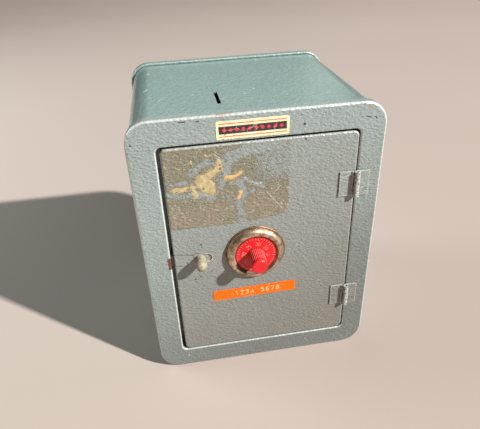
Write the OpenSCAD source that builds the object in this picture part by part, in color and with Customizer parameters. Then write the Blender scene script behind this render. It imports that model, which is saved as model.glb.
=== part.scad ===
// A toy safe coin bank: a sheet-steel case with a hinged door, a sliding bolt and a
// combination dial with a three-wheel lock behind it.
//
// Every piece is drawn in the face frame, as the front of the bank is seen: x runs to the
// right, y up and z out towards the viewer, with the origin under the middle of the front
// face. stand() turns that frame upright, so that +Z is up and the front looks along -Y.

/* [Case] */
// Overall width across the rims
case_w = 175; // [170:1:215]
// Overall height from the table to the top of the rims
case_h = 220; // [190:1:280]
// Depth from the front face to the back face
case_d = 153; // [100:1:240]
// Radius of the case's corners seen from the front
corner_r = 17; // [12:0.5:24]
// Thickness of the sheet steel
sheet = 0.8; // [0.6:0.05:0.95]

/* [Rims] */
// Depth of the folded rim round the front frame and round the back panel
rim_d = 8; // [6:0.5:14]
// How far the rims stand out from the wrapped case
rim_proud = 2; // [1.8:0.1:4]
// Radius of the rims' outer edge
rim_edge_r = 2; // [1.3:0.1:2.6]
// Radius of the bend where a rim folds in towards the wrap
lip_r = 1.1; // [1:0.05:1.3]
// Gap between the folded lip and the wrap
lip_gap = 0.3; // [0.1:0.05:0.4]

/* [Wrap] */
// Width of the joint strip behind the seam under the case
seam_strip_w = 14; // [8:1:20]
// Width of the open seam line
seam_w = 0.5; // [0.3:0.1:1]

/* [Coin slot] */
// Length of the coin slot from front to back
coin_slot_l = 26.5; // [25:0.5:36]
// Width of the coin slot
coin_slot_w = 2.6; // [2.2:0.1:4]
// Distance from the front face to the middle of the coin slot
coin_slot_back = 40.6; // [30:0.2:70]
// Sideways place of the coin slot, from the middle
coin_slot_x = -22.4; // [-40:0.2:40]

/* [Door opening] */
// Width of the front frame's border round the opening
border = 18.6; // [16:0.2:22]
// Sideways place of the opening, from the middle of the case
opening_x = 0.5; // [-1:0.1:1]
// Radius of the opening's corners
opening_r = 4; // [2.5:0.5:8]
// Radius of the bent edges round the opening and the door
bend_r = 1.4; // [1.05:0.05:1.6]
// Depth of the jamb that lines the opening
jamb_d = 10.5; // [9:0.5:14]
// Width of the stop lip at the back of the jamb
stop_w = 5; // [3:0.5:7]

/* [Door] */
// How far the door's face lies behind the frame's face
door_recess = 0.5; // [0.2:0.1:1.5]
// Gap between the door and the jamb on the latch side
latch_gap = 2.4; // [1.4:0.1:3]
// Gap between the door and the jamb on the hinge side
hinge_gap = 0.5; // [0.4:0.1:1.2]
// Gap between the door and the jamb at the top
top_gap = 1.6; // [0.5:0.1:2]
// Gap between the door and the jamb at the bottom
bottom_gap = 0.5; // [0.4:0.1:2]
// Clearance between the closed door and the stop lip
stop_gap = 0.3; // [0.2:0.05:0.6]

/* [Hinges] */
// Height of each hinge
hinge_h = 19.5; // [15:0.5:30]
// Height of the upper hinge's middle above the middle of the case
upper_hinge_up = 50.4; // [35:0.2:60]
// Depth of the lower hinge's middle below the middle of the case
lower_hinge_down = 53; // [35:0.2:60]
// Outer radius of the rolled barrel
barrel_r = 2.1; // [1.9:0.1:3.2]
// Radius of the hinge pin
hinge_pin_r = 1; // [0.8:0.05:1.2]
// Radial clearance round the hinge pin
pin_clear = 0.05; // [0.02:0.01:0.1]
// Thickness of the hinge leaves
leaf_t = 1; // [0.6:0.1:1]
// Width of the door leaf from the pin
door_leaf_w = 12.2; // [9:0.2:16]
// Width of the frame leaf from the pin
frame_leaf_w = 9.4; // [8:0.2:13]
// Number of knuckles in each barrel
knuckles = 5; // [3:2:7]
// Gap between neighbouring knuckles
knuckle_gap = 0.2; // [0.1:0.05:0.4]
// How far the pin's ends lie inside the barrel
pin_recess = 0.8; // [0.3:0.1:1.5]

/* [Dial] */
// Sideways place of the dial, from the middle of the case
dial_x = -5.2; // [-8:0.2:10]
// Height of the lock's axis above the middle of the case
lock_up = 0.6; // [-10:0.2:10]
// Radius of the dial's disc
dial_r = 15.3; // [14:0.1:17]
// Height of the disc's face above the door
dial_face_h = 4.1; // [3.8:0.1:6]
// Thickness of the disc
dial_t = 2.2; // [1.5:0.1:2.4]
// Height of the finger knob's tip above the door
dial_knob_h = 19.7; // [12:0.1:24]
// Radius of the finger knob at the disc
dial_knob_r1 = 6.3; // [5.5:0.1:8]
// Radius of the finger knob at its tip
dial_knob_r2 = 5.7; // [4.5:0.1:6.5]
// Number of flutes round the finger knob
flutes = 28; // [16:1:36]
// Number of divisions round the dial
divisions = 40; // [20:5:60]
// Divisions by which the dial is turned past its index at rest
dial_set = 1; // [0:1:39]
// Radial clearance between the disc and the dial ring
dial_clear = 0.4; // [0.2:0.1:0.6]
// Outer radius of the dial ring
ring_r = 22.8; // [22.5:0.1:28]

/* [Lock] */
// Radius of the spindle
spindle_r = 2.5; // [2:0.1:3]
// Radius of the bush's sleeve, on which the wheels turn
sleeve_r = 4; // [3.5:0.1:5]
// Running clearance of the spindle and the wheels, radial and along the axis
run = 0.05; // [0.02:0.01:0.1]
// Radius of the lock wheels
wheel_r = 16; // [12:0.2:18]
// Thickness of the lock wheels
wheel_t = 1.8; // [1:0.1:2.5]
// Thickness of the spacers between the wheels
spacer_t = 1; // [0.8:0.1:1.6]
// Thickness of the nut that holds the bush
nut_t = 2.2; // [1.5:0.1:3]
// Sideways and upright distance of the lock's posts from the spindle
post_out = 17.5; // [16:0.5:22]

/* [Bolt] */
// Distance from the door's latch edge to the bolt's knob
knob_in = 19.4; // [18:0.1:22]
// Thickness of the bolt
bolt_t = 1.5; // [1:0.1:2]
// Height of the bolt
bolt_h = 9; // [7:0.5:14]
// Sliding clearance round the bolt
bolt_gap = 0.25; // [0.15:0.05:0.4]
// Travel of the bolt from rest to locked, towards the latch side
bolt_throw = 2.2; // [1.8:0.1:5]
// Travel of the bolt from rest to fully drawn back
bolt_draw = 5.6; // [3:0.1:7]
// Gap between the bolt's nose and the jamb at rest
nose_gap = 0.4; // [0.3:0.05:0.8]
// Height of the slot in the door in which the knob slides
knob_slot_h = 7; // [6:0.1:9]
// Radius of the knob's neck
neck_r = 1.8; // [1.7:0.1:3]
// Radius of the knob where it meets the door
knob_base_r = 4; // [3.6:0.1:5]
// Radius of the knob's round head
knob_head_r = 4.2; // [3.6:0.1:6]
// Radius of the knob's waist, under its head
knob_waist_r = 3.7; // [2.8:0.1:4]
// Height of the knob's tip above the door
knob_h = 13.5; // [12:0.1:18]

/* [Labels] */
// Width of the paper label above the door
label_w = 48.2; // [30:0.2:60]
// Height of the paper label
label_h = 12.6; // [8:0.2:14]
// Sideways place of the paper label, from the middle
label_x = -4.6; // [-20:0.2:20]
// Height of the paper label's lower edge above the opening
label_up = 1.6; // [0.5:0.1:3]
// Length of the plastic tape under the dial
tape_l = 65.5; // [40:0.5:80]
// Width of the plastic tape
tape_w = 9.5; // [6:0.1:12]
// Sideways place of the tape's middle
tape_x = -6.4; // [-20:0.2:20]
// Depth of the tape's middle below the spindle
tape_down = 37.8; // [31:0.2:50]
// Turn of the tape in degrees
tape_turn = 1.1; // [-3:0.1:3]

/* [Hidden] */
$fn = 96;

// A cut starts and ends this far outside what it cuts
over = 0.5;

paint = "#9AA39D";
steel = "#B9BBB8";
brass = "#B9974F";
plating = "#B59C80";
red = "#E0242C";
cream = "#D6D0BC";

// The face frame's origin, so that the whole bank's box is centred on the origin
knob_tip = dial_knob_h - door_recess;
front_y = (knob_tip - case_d) / 2;

// The door opening and the door
open_w = case_w - 2 * border;
open_h = case_h - 2 * border;
mid_y = case_h / 2;
door_w = open_w - latch_gap - hinge_gap;
door_h = open_h - top_gap - bottom_gap;
door_x = opening_x + (latch_gap - hinge_gap) / 2;
door_y = mid_y + (bottom_gap - top_gap) / 2;
door_l = door_x - door_w / 2;
door_pan_d = jamb_d - sheet - stop_gap - door_recess;
door_z = -door_recess;
skin_back = door_z - sheet;

// The hinge line
hinge_x = opening_x + open_w / 2 - 0.4;
barrel_lift = 0.2;
hinge_z = barrel_r + barrel_lift;
knuckle_h = (hinge_h - (knuckles - 1) * knuckle_gap) / knuckles;
// A leaf keeps this far from the other leaf's knuckles
knuckle_room = barrel_r + 0.3;

// The lock's axis and its stack of wheels, from the door's skin inwards
nut_wall = 3;
spacer_wall = 2.6;
lock_y = mid_y + lock_up;
wheel_pitch = wheel_t + spacer_t + 2 * run;
stack_top = skin_back - nut_t - run;
cam_top = stack_top - 2 * wheel_pitch - spacer_t - run;
spring_h = 1.5;
// The dial ring's bevel, crest, shoulder, lip, bead and index notch
bevel_w = 1.4;
crest_up = 0.9;
ring_lip_w = 0.9;
ring_lip_t = 0.6;
shoulder_r = min(4.2, ring_r - ring_lip_w - dial_r - dial_clear - bevel_w - 0.4);
bead_r = 0.5;
notch_w = 0.7;
plate_top = cam_top - wheel_t - spring_h - 2 * run;
plate_t = 1;
clip_t = 0.6;
groove_d = 0.6;
// The finger knob's end is solid for this length
knob_cap = 5;
clip_top = plate_top - plate_t - 0.1;
spindle_end = clip_top - clip_t - 1;
plate_w = 2 * post_out + 9;
plate_corner_r = 5;
screw_hole_gap = 0.35;
post_r = 3;
screw_r = 1.25;
screw_l = 7;
screw_head_t = 1.5;
screw_tip_gap = 0.5;
lock_screw_head_r = 2.7;
driver_slot_w = 0.7;
gate_w = 7;
gate_d = 6;
pickup_r = 10;
pickup_pin_r = 0.8;
pickup_angle = 20;
// Neighbouring pickup pins lie side by side, this many degrees apart
pickup_step = 2 * asin((pickup_pin_r + 0.05) / pickup_r);

// The bolt, its knob and its guides
knob_x = door_l + knob_in;
bolt_front = skin_back - bolt_gap;
bolt_back = bolt_front - bolt_t;
nose_x = opening_x - open_w / 2 + nose_gap;
fence_t = 1.5;
fence_gap = 0.4;
fence_h = 6;
fence_right = dial_x - wheel_r - fence_gap - bolt_draw;
slot_clear = 0.25;
// The slot runs on this far past the neck when the bolt is drawn back
slot_spare = 1.25;
slot_left = knob_x - bolt_throw - neck_r - slot_clear;
slot_right = knob_x + bolt_draw + neck_r + slot_clear + slot_spare;
knob_screw_head_r = 3;
// The knob's foot stands this far off the door
knob_lift = 0.4;
guide_t = 1;
guide_foot = 5;
guide_depth = bolt_t + 2 * bolt_gap;
guide_room = 0.4;
// The right guide fits between the knob screw drawn back and the fence thrown forward
right_guide_l = knob_x + bolt_draw + knob_screw_head_r + guide_room;
right_guide_r = fence_right - fence_t - bolt_throw - guide_room;
left_guide_l = door_l + sheet + 0.6;
left_guide_r = knob_x - bolt_throw - knob_screw_head_r - guide_room;

label_t = 0.2;
tape_t = 0.25;

// Turns the face frame upright and puts it at the bank's front
module stand() {
    translate([0, front_y, 0]) rotate([90, 0, 0]) children();
}

// A rectangle with round corners, centred
module rounded_rect(w, h, r) {
    square([w - 2 * r, h], center = true);
    square([w, h - 2 * r], center = true);
    for (sx = [-1, 1], sy = [-1, 1])
        translate([sx * (w / 2 - r), sy * (h / 2 - r)]) circle(r = r);
}

// A flat ring or plate from z = top down to top - t
module slab(top, t) {
    translate([0, 0, top - t]) linear_extrude(t) children();
}

// Carries a section round a rounded rectangle: in the section, x = 0 lies on the outline,
// x grows outwards and y is the height z
module around(w, h, r) {
    for (i = [0:3]) {
        side = i % 2 == 0 ? h - 2 * r : w - 2 * r;
        out = i % 2 == 0 ? w / 2 : h / 2;
        rotate(90 * i) translate([out, side / 2, 0]) rotate([90, 0, 0])
            linear_extrude(side) children();
        rotate(90 * i) translate([out - r, side / 2, 0]) rotate_extrude(angle = 90)
            translate([r, 0]) children();
    }
}

// A quarter of a ring, in the corner right of and above its centre
module quarter_ring(r_out, r_in) {
    intersection() {
        difference() {
            circle(r = r_out);
            circle(r = r_in);
        }
        square(r_out + 1);
    }
}

// The section of a sheet bent back along an outline: a round edge and a wall of depth d
module bent_edge(r, d) {
    translate([-r, -r]) quarter_ring(r, r - sheet);
    translate([-sheet, -d]) square([sheet, d - r]);
}

// The section of a rim: a bent edge whose back is folded in towards the wrap
module rim_section() {
    bent_edge(rim_edge_r, rim_d - lip_r);
    translate([-lip_r, -rim_d + lip_r]) mirror([0, 1]) quarter_ring(lip_r, lip_r - sheet);
    translate([-rim_proud + lip_gap, -rim_d]) square([rim_proud - lip_gap - lip_r, sheet]);
}

// A rim and the part of the face plate that lies inside its round edge
module rim() {
    translate([0, mid_y, 0]) around(case_w, case_h, corner_r) rim_section();
}

module rim_plate_outline() {
    translate([0, mid_y])
        rounded_rect(case_w - 2 * rim_edge_r, case_h - 2 * rim_edge_r, corner_r - rim_edge_r);
}

module cabinet_wrap() {
    w = case_w - 2 * rim_proud;
    h = case_h - 2 * rim_proud;
    r = corner_r - rim_proud;
    l = case_d - 2 * sheet;
    color(paint) difference() {
        union() {
            slab(-sheet, l) translate([0, mid_y]) difference() {
                rounded_rect(w, h, r);
                rounded_rect(w - 2 * sheet, h - 2 * sheet, r - sheet);
            }
            translate([-seam_strip_w / 2, rim_proud + sheet - 0.1, -sheet - l])
                cube([seam_strip_w, sheet + 0.1, l]);
        }
        translate([-seam_w / 2, rim_proud - over, -case_d - over])
            cube([seam_w, sheet + over, case_d + 2 * over]);
        translate([coin_slot_x - coin_slot_w / 2, case_h - rim_proud - sheet - over,
                -coin_slot_back - coin_slot_l / 2])
            cube([coin_slot_w, sheet + 2 * over, coin_slot_l]);
    }
}

module front_frame() {
    color(paint) difference() {
        union() {
            rim();
            slab(0, sheet) difference() {
                rim_plate_outline();
                translate([opening_x, mid_y])
                    rounded_rect(open_w + 2 * bend_r, open_h + 2 * bend_r, opening_r + bend_r);
            }
            translate([opening_x, mid_y, 0]) around(open_w, open_h, opening_r) mirror([1, 0])
                bent_edge(bend_r, jamb_d);
            slab(-jamb_d + sheet, sheet) translate([opening_x, mid_y]) difference() {
                rounded_rect(open_w + sheet, open_h + sheet, opening_r + sheet / 2);
                rounded_rect(open_w - 2 * stop_w, open_h - 2 * stop_w, opening_r);
            }
        }
        translate([opening_x - open_w / 2 - sheet - over, lock_y - bolt_h / 2 - bolt_gap * 2,
                bolt_back - bolt_gap])
            cube([sheet + 2 * over, bolt_h + bolt_gap * 4, bolt_t + bolt_gap * 2]);
    }
}

module back_panel() {
    color(paint) translate([0, 0, -case_d]) mirror([0, 0, 1]) union() {
        rim();
        slab(0, sheet) rim_plate_outline();
    }
}

module door_panel() {
    color(paint) difference() {
        translate([door_x, door_y, door_z]) union() {
            around(door_w, door_h, opening_r) bent_edge(bend_r, door_pan_d);
            slab(0, sheet)
                rounded_rect(door_w - 2 * bend_r, door_h - 2 * bend_r, opening_r - bend_r);
        }
        translate([dial_x, lock_y, door_z - sheet - over])
            cylinder(r = sleeve_r + run, h = sheet + 2 * over);
        knob_slot();
        translate([door_l - over, lock_y - bolt_h / 2 - bolt_gap * 2, bolt_back - bolt_gap])
            cube([sheet + 2 * over, bolt_h + bolt_gap * 4, bolt_t + bolt_gap * 2]);
    }
}

// The cut for the knob's slot: a box with a round at each end
module knob_slot() {
    r = knob_slot_h / 2;
    translate([0, lock_y, door_z - sheet - over]) linear_extrude(sheet + 2 * over) {
        translate([slot_left + r, -r]) square([slot_right - slot_left - 2 * r, knob_slot_h]);
        for (x = [slot_left + r, slot_right - r]) translate([x, 0]) circle(r = r);
    }
}

// Places a hinge's parts on the pin's axis, with z = 0 at its lower end. In this frame x
// runs to the right, y into the door and z up, so a leaf's plate lies at y = hinge_z.
module hinge_line(middle) {
    translate([hinge_x, middle - hinge_h / 2, hinge_z]) rotate([-90, 0, 0]) children();
}

function knuckle_z(i) = i * (knuckle_h + knuckle_gap);

// Knuckles numbered from first in steps of two, each with a strip of the given width
// that joins it to its leaf on side -1 or 1. The strip's near face is at y = strip_y.
module barrel(first, side, strip_w, strip_y, strip_t) {
    for (i = [first:2:knuckles - 1]) translate([0, 0, knuckle_z(i)]) {
        cylinder(r = barrel_r, h = knuckle_h);
        translate([side > 0 ? 0 : -strip_w, strip_y, 0]) cube([strip_w, strip_t, knuckle_h]);
    }
}

module pin_bore() {
    translate([0, 0, -over])
        cylinder(r = hinge_pin_r + pin_clear, h = hinge_h + 2 * over);
}

// The frame leaf lies on the frame's face, at y = hinge_z
module hinge_frame_leaf(middle) {
    color(paint) hinge_line(middle) difference() {
        union() {
            barrel(0, 1, knuckle_room + 1, hinge_z - leaf_t, leaf_t);
            translate([knuckle_room, hinge_z - leaf_t, 0])
                cube([frame_leaf_w - knuckle_room, leaf_t, hinge_h]);
        }
        pin_bore();
    }
}

// The door leaf lies on the door's face, door_recess further in, and steps up to the barrel
module hinge_door_leaf(middle) {
    riser_x = knuckle_room + leaf_t;
    strip_y = hinge_z - barrel_lift - leaf_t;
    leaf_y = hinge_z + door_recess - leaf_t;
    color(paint) hinge_line(middle) difference() {
        union() {
            barrel(1, -1, riser_x, strip_y, leaf_t);
            translate([-riser_x, strip_y, 0])
                cube([leaf_t, leaf_y + leaf_t - strip_y, hinge_h]);
            translate([-door_leaf_w, leaf_y, 0])
                cube([door_leaf_w - riser_x + leaf_t, leaf_t, hinge_h]);
        }
        pin_bore();
    }
}

module hinge_pin(middle) {
    color(steel) hinge_line(middle) translate([0, 0, pin_recess])
        cylinder(r = hinge_pin_r, h = hinge_h - 2 * pin_recess);
}

// A strap that bridges the bolt, with a foot above and below it on the door's skin
module bolt_guide(left, w) {
    room = bolt_h / 2 + bolt_gap;
    bridge = room + guide_t;
    translate([left, lock_y, skin_back]) {
        for (s = [-1, 1]) {
            translate([0, s > 0 ? room : -bridge, -guide_depth - guide_t])
                cube([w, guide_t, guide_depth + guide_t]);
            translate([0, s > 0 ? room : -room - guide_foot, -guide_t])
                cube([w, guide_foot, guide_t]);
        }
        translate([0, -bridge, -guide_depth - guide_t]) cube([w, 2 * bridge, guide_t]);
    }
}

module bolt_guides() {
    color(steel) {
        bolt_guide(left_guide_l, left_guide_r - left_guide_l);
        bolt_guide(right_guide_l, right_guide_r - right_guide_l);
    }
}

module at_posts() {
    for (sx = [-1, 1], sy = [-1, 1])
        translate([dial_x + sx * post_out, lock_y + sy * post_out, 0]) children();
}

module lock_posts() {
    color(steel) at_posts() difference() {
        translate([0, 0, plate_top]) cylinder(r = post_r, h = skin_back - plate_top);
        translate([0, 0, plate_top - over]) cylinder(r = screw_r + run, h = screw_l + over);
    }
}

module lock_back_plate() {
    color(steel) difference() {
        slab(plate_top, plate_t) translate([dial_x, lock_y]) rounded_rect(plate_w, plate_w, plate_corner_r);
        translate([dial_x, lock_y, plate_top - plate_t - over])
            cylinder(r = spindle_r + run, h = plate_t + 2 * over);
        at_posts() translate([0, 0, plate_top - plate_t - over])
            cylinder(r = screw_r + screw_hole_gap, h = plate_t + 2 * over);
    }
}

// A screw with a coned head below z = 0, its shank above, and a driver slot
module screw(head_r, head_t, shank_l) {
    difference() {
        union() {
            translate([0, 0, -head_t]) cylinder(r1 = head_r * 0.8, r2 = head_r, h = head_t);
            translate([0, 0, -0.1]) cylinder(r = screw_r, h = shank_l + 0.1);
        }
        translate([-head_r - over, -driver_slot_w / 2, -head_t - over])
            cube([2 * head_r + 2 * over, driver_slot_w, head_t / 2 + over]);
    }
}

module lock_screws() {
    color(steel) at_posts() translate([0, 0, plate_top - plate_t])
        screw(lock_screw_head_r, screw_head_t, screw_l - screw_tip_gap);
}

// The dial ring's section: a floor, a wall round the disc, a bevel up to a flat crest, a wide
// round shoulder down to the door and a low lip with a beaded edge
module ring_section() {
    bore = sleeve_r + run;
    wall_x = dial_r + dial_clear;
    bevel_x = wall_x + bevel_w;
    crest_h = dial_face_h + crest_up;
    wall_h = dial_face_h - 0.4;
    body_r = ring_r - ring_lip_w;
    shoulder_x = body_r - shoulder_r;
    polygon([[bore, 0], [wall_x + sheet, 0], [wall_x + sheet, wall_h - sheet / 2],
        [bevel_x + sheet / 2, crest_h - sheet], [shoulder_x, crest_h - sheet],
        [shoulder_x, crest_h], [bevel_x, crest_h], [wall_x, wall_h], [wall_x, sheet], [bore, sheet]]);
    translate([shoulder_x, crest_h - shoulder_r]) quarter_ring(shoulder_r, shoulder_r - sheet);
    translate([body_r - sheet, 0]) square([sheet, crest_h - shoulder_r]);
    translate([body_r - sheet, 0]) square([ring_lip_w + sheet - bead_r, ring_lip_t]);
    translate([ring_r - bead_r, bead_r]) circle(r = bead_r);
}

module dial_ring() {
    notch_l = 1.6;
    color(plating) translate([dial_x, lock_y, door_z]) difference() {
        rotate_extrude() ring_section();
        translate([-notch_w / 2, dial_r + dial_clear - over, dial_face_h - 0.9])
            cube([notch_w, notch_l + over, dial_face_h]);
    }
}

module spindle_bush() {
    flange_r = 7;
    flange_t = 1;
    top = door_z + sheet + flange_t;
    bottom = cam_top + 2 * run;
    color(brass) translate([dial_x, lock_y, 0]) difference() {
        union() {
            translate([0, 0, bottom]) cylinder(r = sleeve_r, h = top - bottom);
            translate([0, 0, top - flange_t]) cylinder(r = flange_r, h = flange_t);
        }
        translate([0, 0, bottom - over])
            cylinder(r = spindle_r + run, h = top - bottom + 2 * over);
    }
}

module bush_nut() {
    color(brass) translate([dial_x, lock_y, skin_back - nut_t]) difference() {
        cylinder(r = sleeve_r + nut_wall, h = nut_t, $fn = 6);
        translate([0, 0, -over]) cylinder(r = sleeve_r + run, h = nut_t + 2 * over);
    }
}

module wheel_spacers() {
    color(steel) for (i = [0:2])
        translate([dial_x, lock_y, stack_top - i * wheel_pitch - spacer_t]) difference() {
            cylinder(r = sleeve_r + spacer_wall, h = spacer_t);
            translate([0, 0, -over]) cylinder(r = sleeve_r + run, h = spacer_t + 2 * over);
        }
}

// A conical spring washer between the drive cam and the back plate
module spring_washer() {
    t = 0.5;
    inner_r = spindle_r + 0.3;
    outer_r = inner_r + 5.2;
    top = spring_h - run;
    color(steel) translate([dial_x, lock_y, plate_top + run]) rotate_extrude()
        polygon([[inner_r, 0], [inner_r + t, 0], [outer_r, top - t], [outer_r, top],
            [outer_r - t, top], [inner_r, t]]);
}

// A lock wheel with its gate towards the bolt and its face at z = 0. A pickup pin stands
// on its front or its back where it meets the next wheel's pin.
module lock_wheel(bore_r, pin_in_front, pin_behind) {
    pin_h = spacer_t * 0.8;
    change_hole_r = 1.2;
    change_hole_out = wheel_r * 0.55;
    difference() {
        translate([0, 0, -wheel_t]) cylinder(r = wheel_r, h = wheel_t);
        if (bore_r > 0) translate([0, 0, -wheel_t - over])
            cylinder(r = bore_r, h = wheel_t + 2 * over);
        translate([-wheel_r - over, -gate_w / 2, -wheel_t - over])
            cube([gate_d + over, gate_w, wheel_t + 2 * over]);
        for (a = [0:72:359]) rotate(a) translate([change_hole_out, 0, -wheel_t - over])
            cylinder(r = change_hole_r, h = wheel_t + 2 * over);
    }
    if (pin_in_front) rotate(pickup_angle) translate([pickup_r, 0, -0.1])
        cylinder(r = pickup_pin_r, h = pin_h + 0.1);
    if (pin_behind) rotate(pickup_angle + pickup_step)
        translate([pickup_r, 0, -wheel_t - pin_h]) cylinder(r = pickup_pin_r, h = pin_h + 0.1);
}

module front_tumbler() {
    color(brass) translate([dial_x, lock_y, stack_top - spacer_t - run])
        lock_wheel(sleeve_r + run, false, true);
}

module rear_tumbler() {
    color(brass) translate([dial_x, lock_y, stack_top - spacer_t - run - wheel_pitch])
        lock_wheel(sleeve_r + run, true, true);
}

// The spindle's section where it drives the cam: a circle with a flat
module spindle_flat(grow) {
    intersection() {
        circle(r = spindle_r + grow);
        translate([-spindle_r - 1, -spindle_r - 1])
            square([spindle_r + 1 + spindle_r * 0.6 + grow, 2 * spindle_r + 2]);
    }
}

module drive_cam() {
    color(brass) translate([dial_x, lock_y, cam_top]) difference() {
        lock_wheel(0, true, false);
        translate([0, 0, -wheel_t - over]) linear_extrude(wheel_t + 2 * over) spindle_flat(run);
    }
}

module dial_spindle() {
    groove_r = spindle_r - groove_d;
    groove_top = clip_top + 0.1;
    groove_l = clip_t + 0.2;
    top = door_z + dial_knob_h - knob_cap;
    color(steel) translate([dial_x, lock_y, 0]) {
        translate([0, 0, cam_top]) cylinder(r = spindle_r, h = top - cam_top);
        translate([0, 0, groove_top]) linear_extrude(cam_top - groove_top) spindle_flat(0);
        translate([0, 0, groove_top - groove_l]) cylinder(r = groove_r, h = groove_l);
        translate([0, 0, spindle_end]) linear_extrude(groove_top - groove_l - spindle_end)
            spindle_flat(0);
    }
}

// A clip in the spindle's groove, open on one side
module spindle_clip() {
    inner_r = spindle_r - groove_d + run;
    outer_r = spindle_r + 1.8;
    mouth = 1.6 * inner_r;
    color(steel) slab(clip_top, clip_t) translate([dial_x, lock_y]) difference() {
        circle(r = outer_r);
        circle(r = inner_r);
        translate([0, -mouth / 2]) square([outer_r + over, mouth]);
    }
}

// The grooves of the dial's divisions, every fifth one longer
module dial_ticks() {
    tick_w = 0.45;
    tick_d = 0.3;
    edge_gap = 0.6;
    short_l = 1.6;
    long_l = 2.6;
    for (i = [0:divisions - 1]) {
        l = i % 5 == 0 ? long_l : short_l;
        rotate(90 - (i + dial_set) * 360 / divisions)
            translate([dial_r - edge_gap - l, -tick_w / 2, dial_face_h - tick_d])
                cube([l, tick_w, tick_d + over]);
    }
}

// The dial: a disc with divisions and a tapered, fluted finger knob whose end is plain
module combination_dial() {
    plain = 2;
    chamfer = 0.4;
    flute_r = 0.55;
    flute_out = dial_knob_r1 + 0.15;
    knob_l = dial_knob_h - dial_face_h;
    taper = atan((dial_knob_r1 - dial_knob_r2) / knob_l);
    color(red) translate([dial_x, lock_y, door_z]) difference() {
        union() {
            translate([0, 0, dial_face_h - dial_t]) cylinder(r = dial_r, h = dial_t);
            translate([0, 0, dial_face_h])
                cylinder(r1 = dial_knob_r1, r2 = dial_knob_r2, h = knob_l - chamfer);
            translate([0, 0, dial_knob_h - chamfer])
                cylinder(r1 = dial_knob_r2, r2 = dial_knob_r2 - chamfer, h = chamfer);
        }
        dial_ticks();
        for (i = [0:flutes - 1]) rotate(i * 360 / flutes)
            translate([flute_out, 0, dial_face_h]) rotate([0, -taper, 0])
                cylinder(r = flute_r, h = knob_l - plain);
        translate([0, 0, -over])
            cylinder(r = spindle_r + run, h = dial_knob_h - knob_cap + run + over);
    }
}

module sliding_bolt() {
    l = fence_right - nose_x;
    fence_reach = bolt_front - (cam_top - wheel_t);
    color(steel) translate([nose_x, lock_y, 0]) difference() {
        union() {
            translate([0, -bolt_h / 2, bolt_back]) cube([l, bolt_h, bolt_t]);
            translate([l - fence_t, -fence_h / 2, bolt_front - fence_reach])
                cube([fence_t, fence_h, fence_reach]);
        }
        translate([knob_x - nose_x, 0, bolt_back - over])
            cylinder(r = screw_r + run, h = bolt_t + 2 * over);
    }
}

// The knob: a collar that narrows to a waist, then a head that swells to a round end
module bolt_knob() {
    foot_z = door_z + knob_lift;
    waist_z = door_z + knob_h * 0.34;
    head_z = door_z + knob_h - knob_head_r;
    swell_z = head_z - 1.6;
    color(cream) translate([knob_x, lock_y, 0]) difference() {
        union() {
            translate([0, 0, bolt_front]) cylinder(r = neck_r, h = foot_z - bolt_front);
            translate([0, 0, foot_z])
                cylinder(r1 = knob_base_r, r2 = knob_waist_r, h = waist_z - foot_z);
            translate([0, 0, waist_z])
                cylinder(r1 = knob_waist_r, r2 = knob_head_r, h = swell_z - waist_z);
            translate([0, 0, swell_z]) cylinder(r = knob_head_r, h = head_z - swell_z);
            translate([0, 0, head_z]) sphere(r = knob_head_r);
        }
        translate([0, 0, bolt_front - over])
            cylinder(r = screw_r + run, h = head_z - bolt_front + over);
    }
}

module knob_screw() {
    l = bolt_t + door_z + knob_h - knob_head_r - bolt_front - screw_tip_gap;
    color(steel) translate([knob_x, lock_y, bolt_back]) screw(knob_screw_head_r, screw_head_t, l);
}

module paper_label() {
    bottom = case_h - border + label_up;
    color("#E8DCB0") slab(label_t, label_t) translate([label_x, bottom + label_h / 2])
        rounded_rect(label_w, label_h, 1.2);
}

module plastic_tape() {
    color("#FF7A12") slab(door_z + tape_t, tape_t) translate([tape_x, lock_y - tape_down])
        rotate(tape_turn) square([tape_l, tape_w], center = true);
}

stand() cabinet_wrap();
stand() front_frame();
stand() back_panel();
stand() hinge_frame_leaf(mid_y + upper_hinge_up);  // upper_hinge_frame_leaf
stand() hinge_door_leaf(mid_y + upper_hinge_up);  // upper_hinge_door_leaf
stand() hinge_pin(mid_y + upper_hinge_up);  // upper_hinge_pin
stand() hinge_frame_leaf(mid_y - lower_hinge_down);  // lower_hinge_frame_leaf
stand() hinge_door_leaf(mid_y - lower_hinge_down);  // lower_hinge_door_leaf
stand() hinge_pin(mid_y - lower_hinge_down);  // lower_hinge_pin
stand() door_panel();
stand() bolt_guides();
stand() lock_posts();
stand() lock_back_plate();
stand() lock_screws();
stand() dial_ring();
stand() spindle_bush();
stand() bush_nut();
stand() wheel_spacers();
stand() spring_washer();
stand() combination_dial();
stand() dial_spindle();
stand() drive_cam();
stand() spindle_clip();
stand() front_tumbler();
stand() rear_tumbler();
stand() sliding_bolt();
stand() bolt_knob();
stand() knob_screw();
stand() paper_label();
stand() plastic_tape();
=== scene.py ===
import math
from functools import reduce

import bpy
import numpy as np
from mathutils import Matrix, Vector, noise


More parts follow.
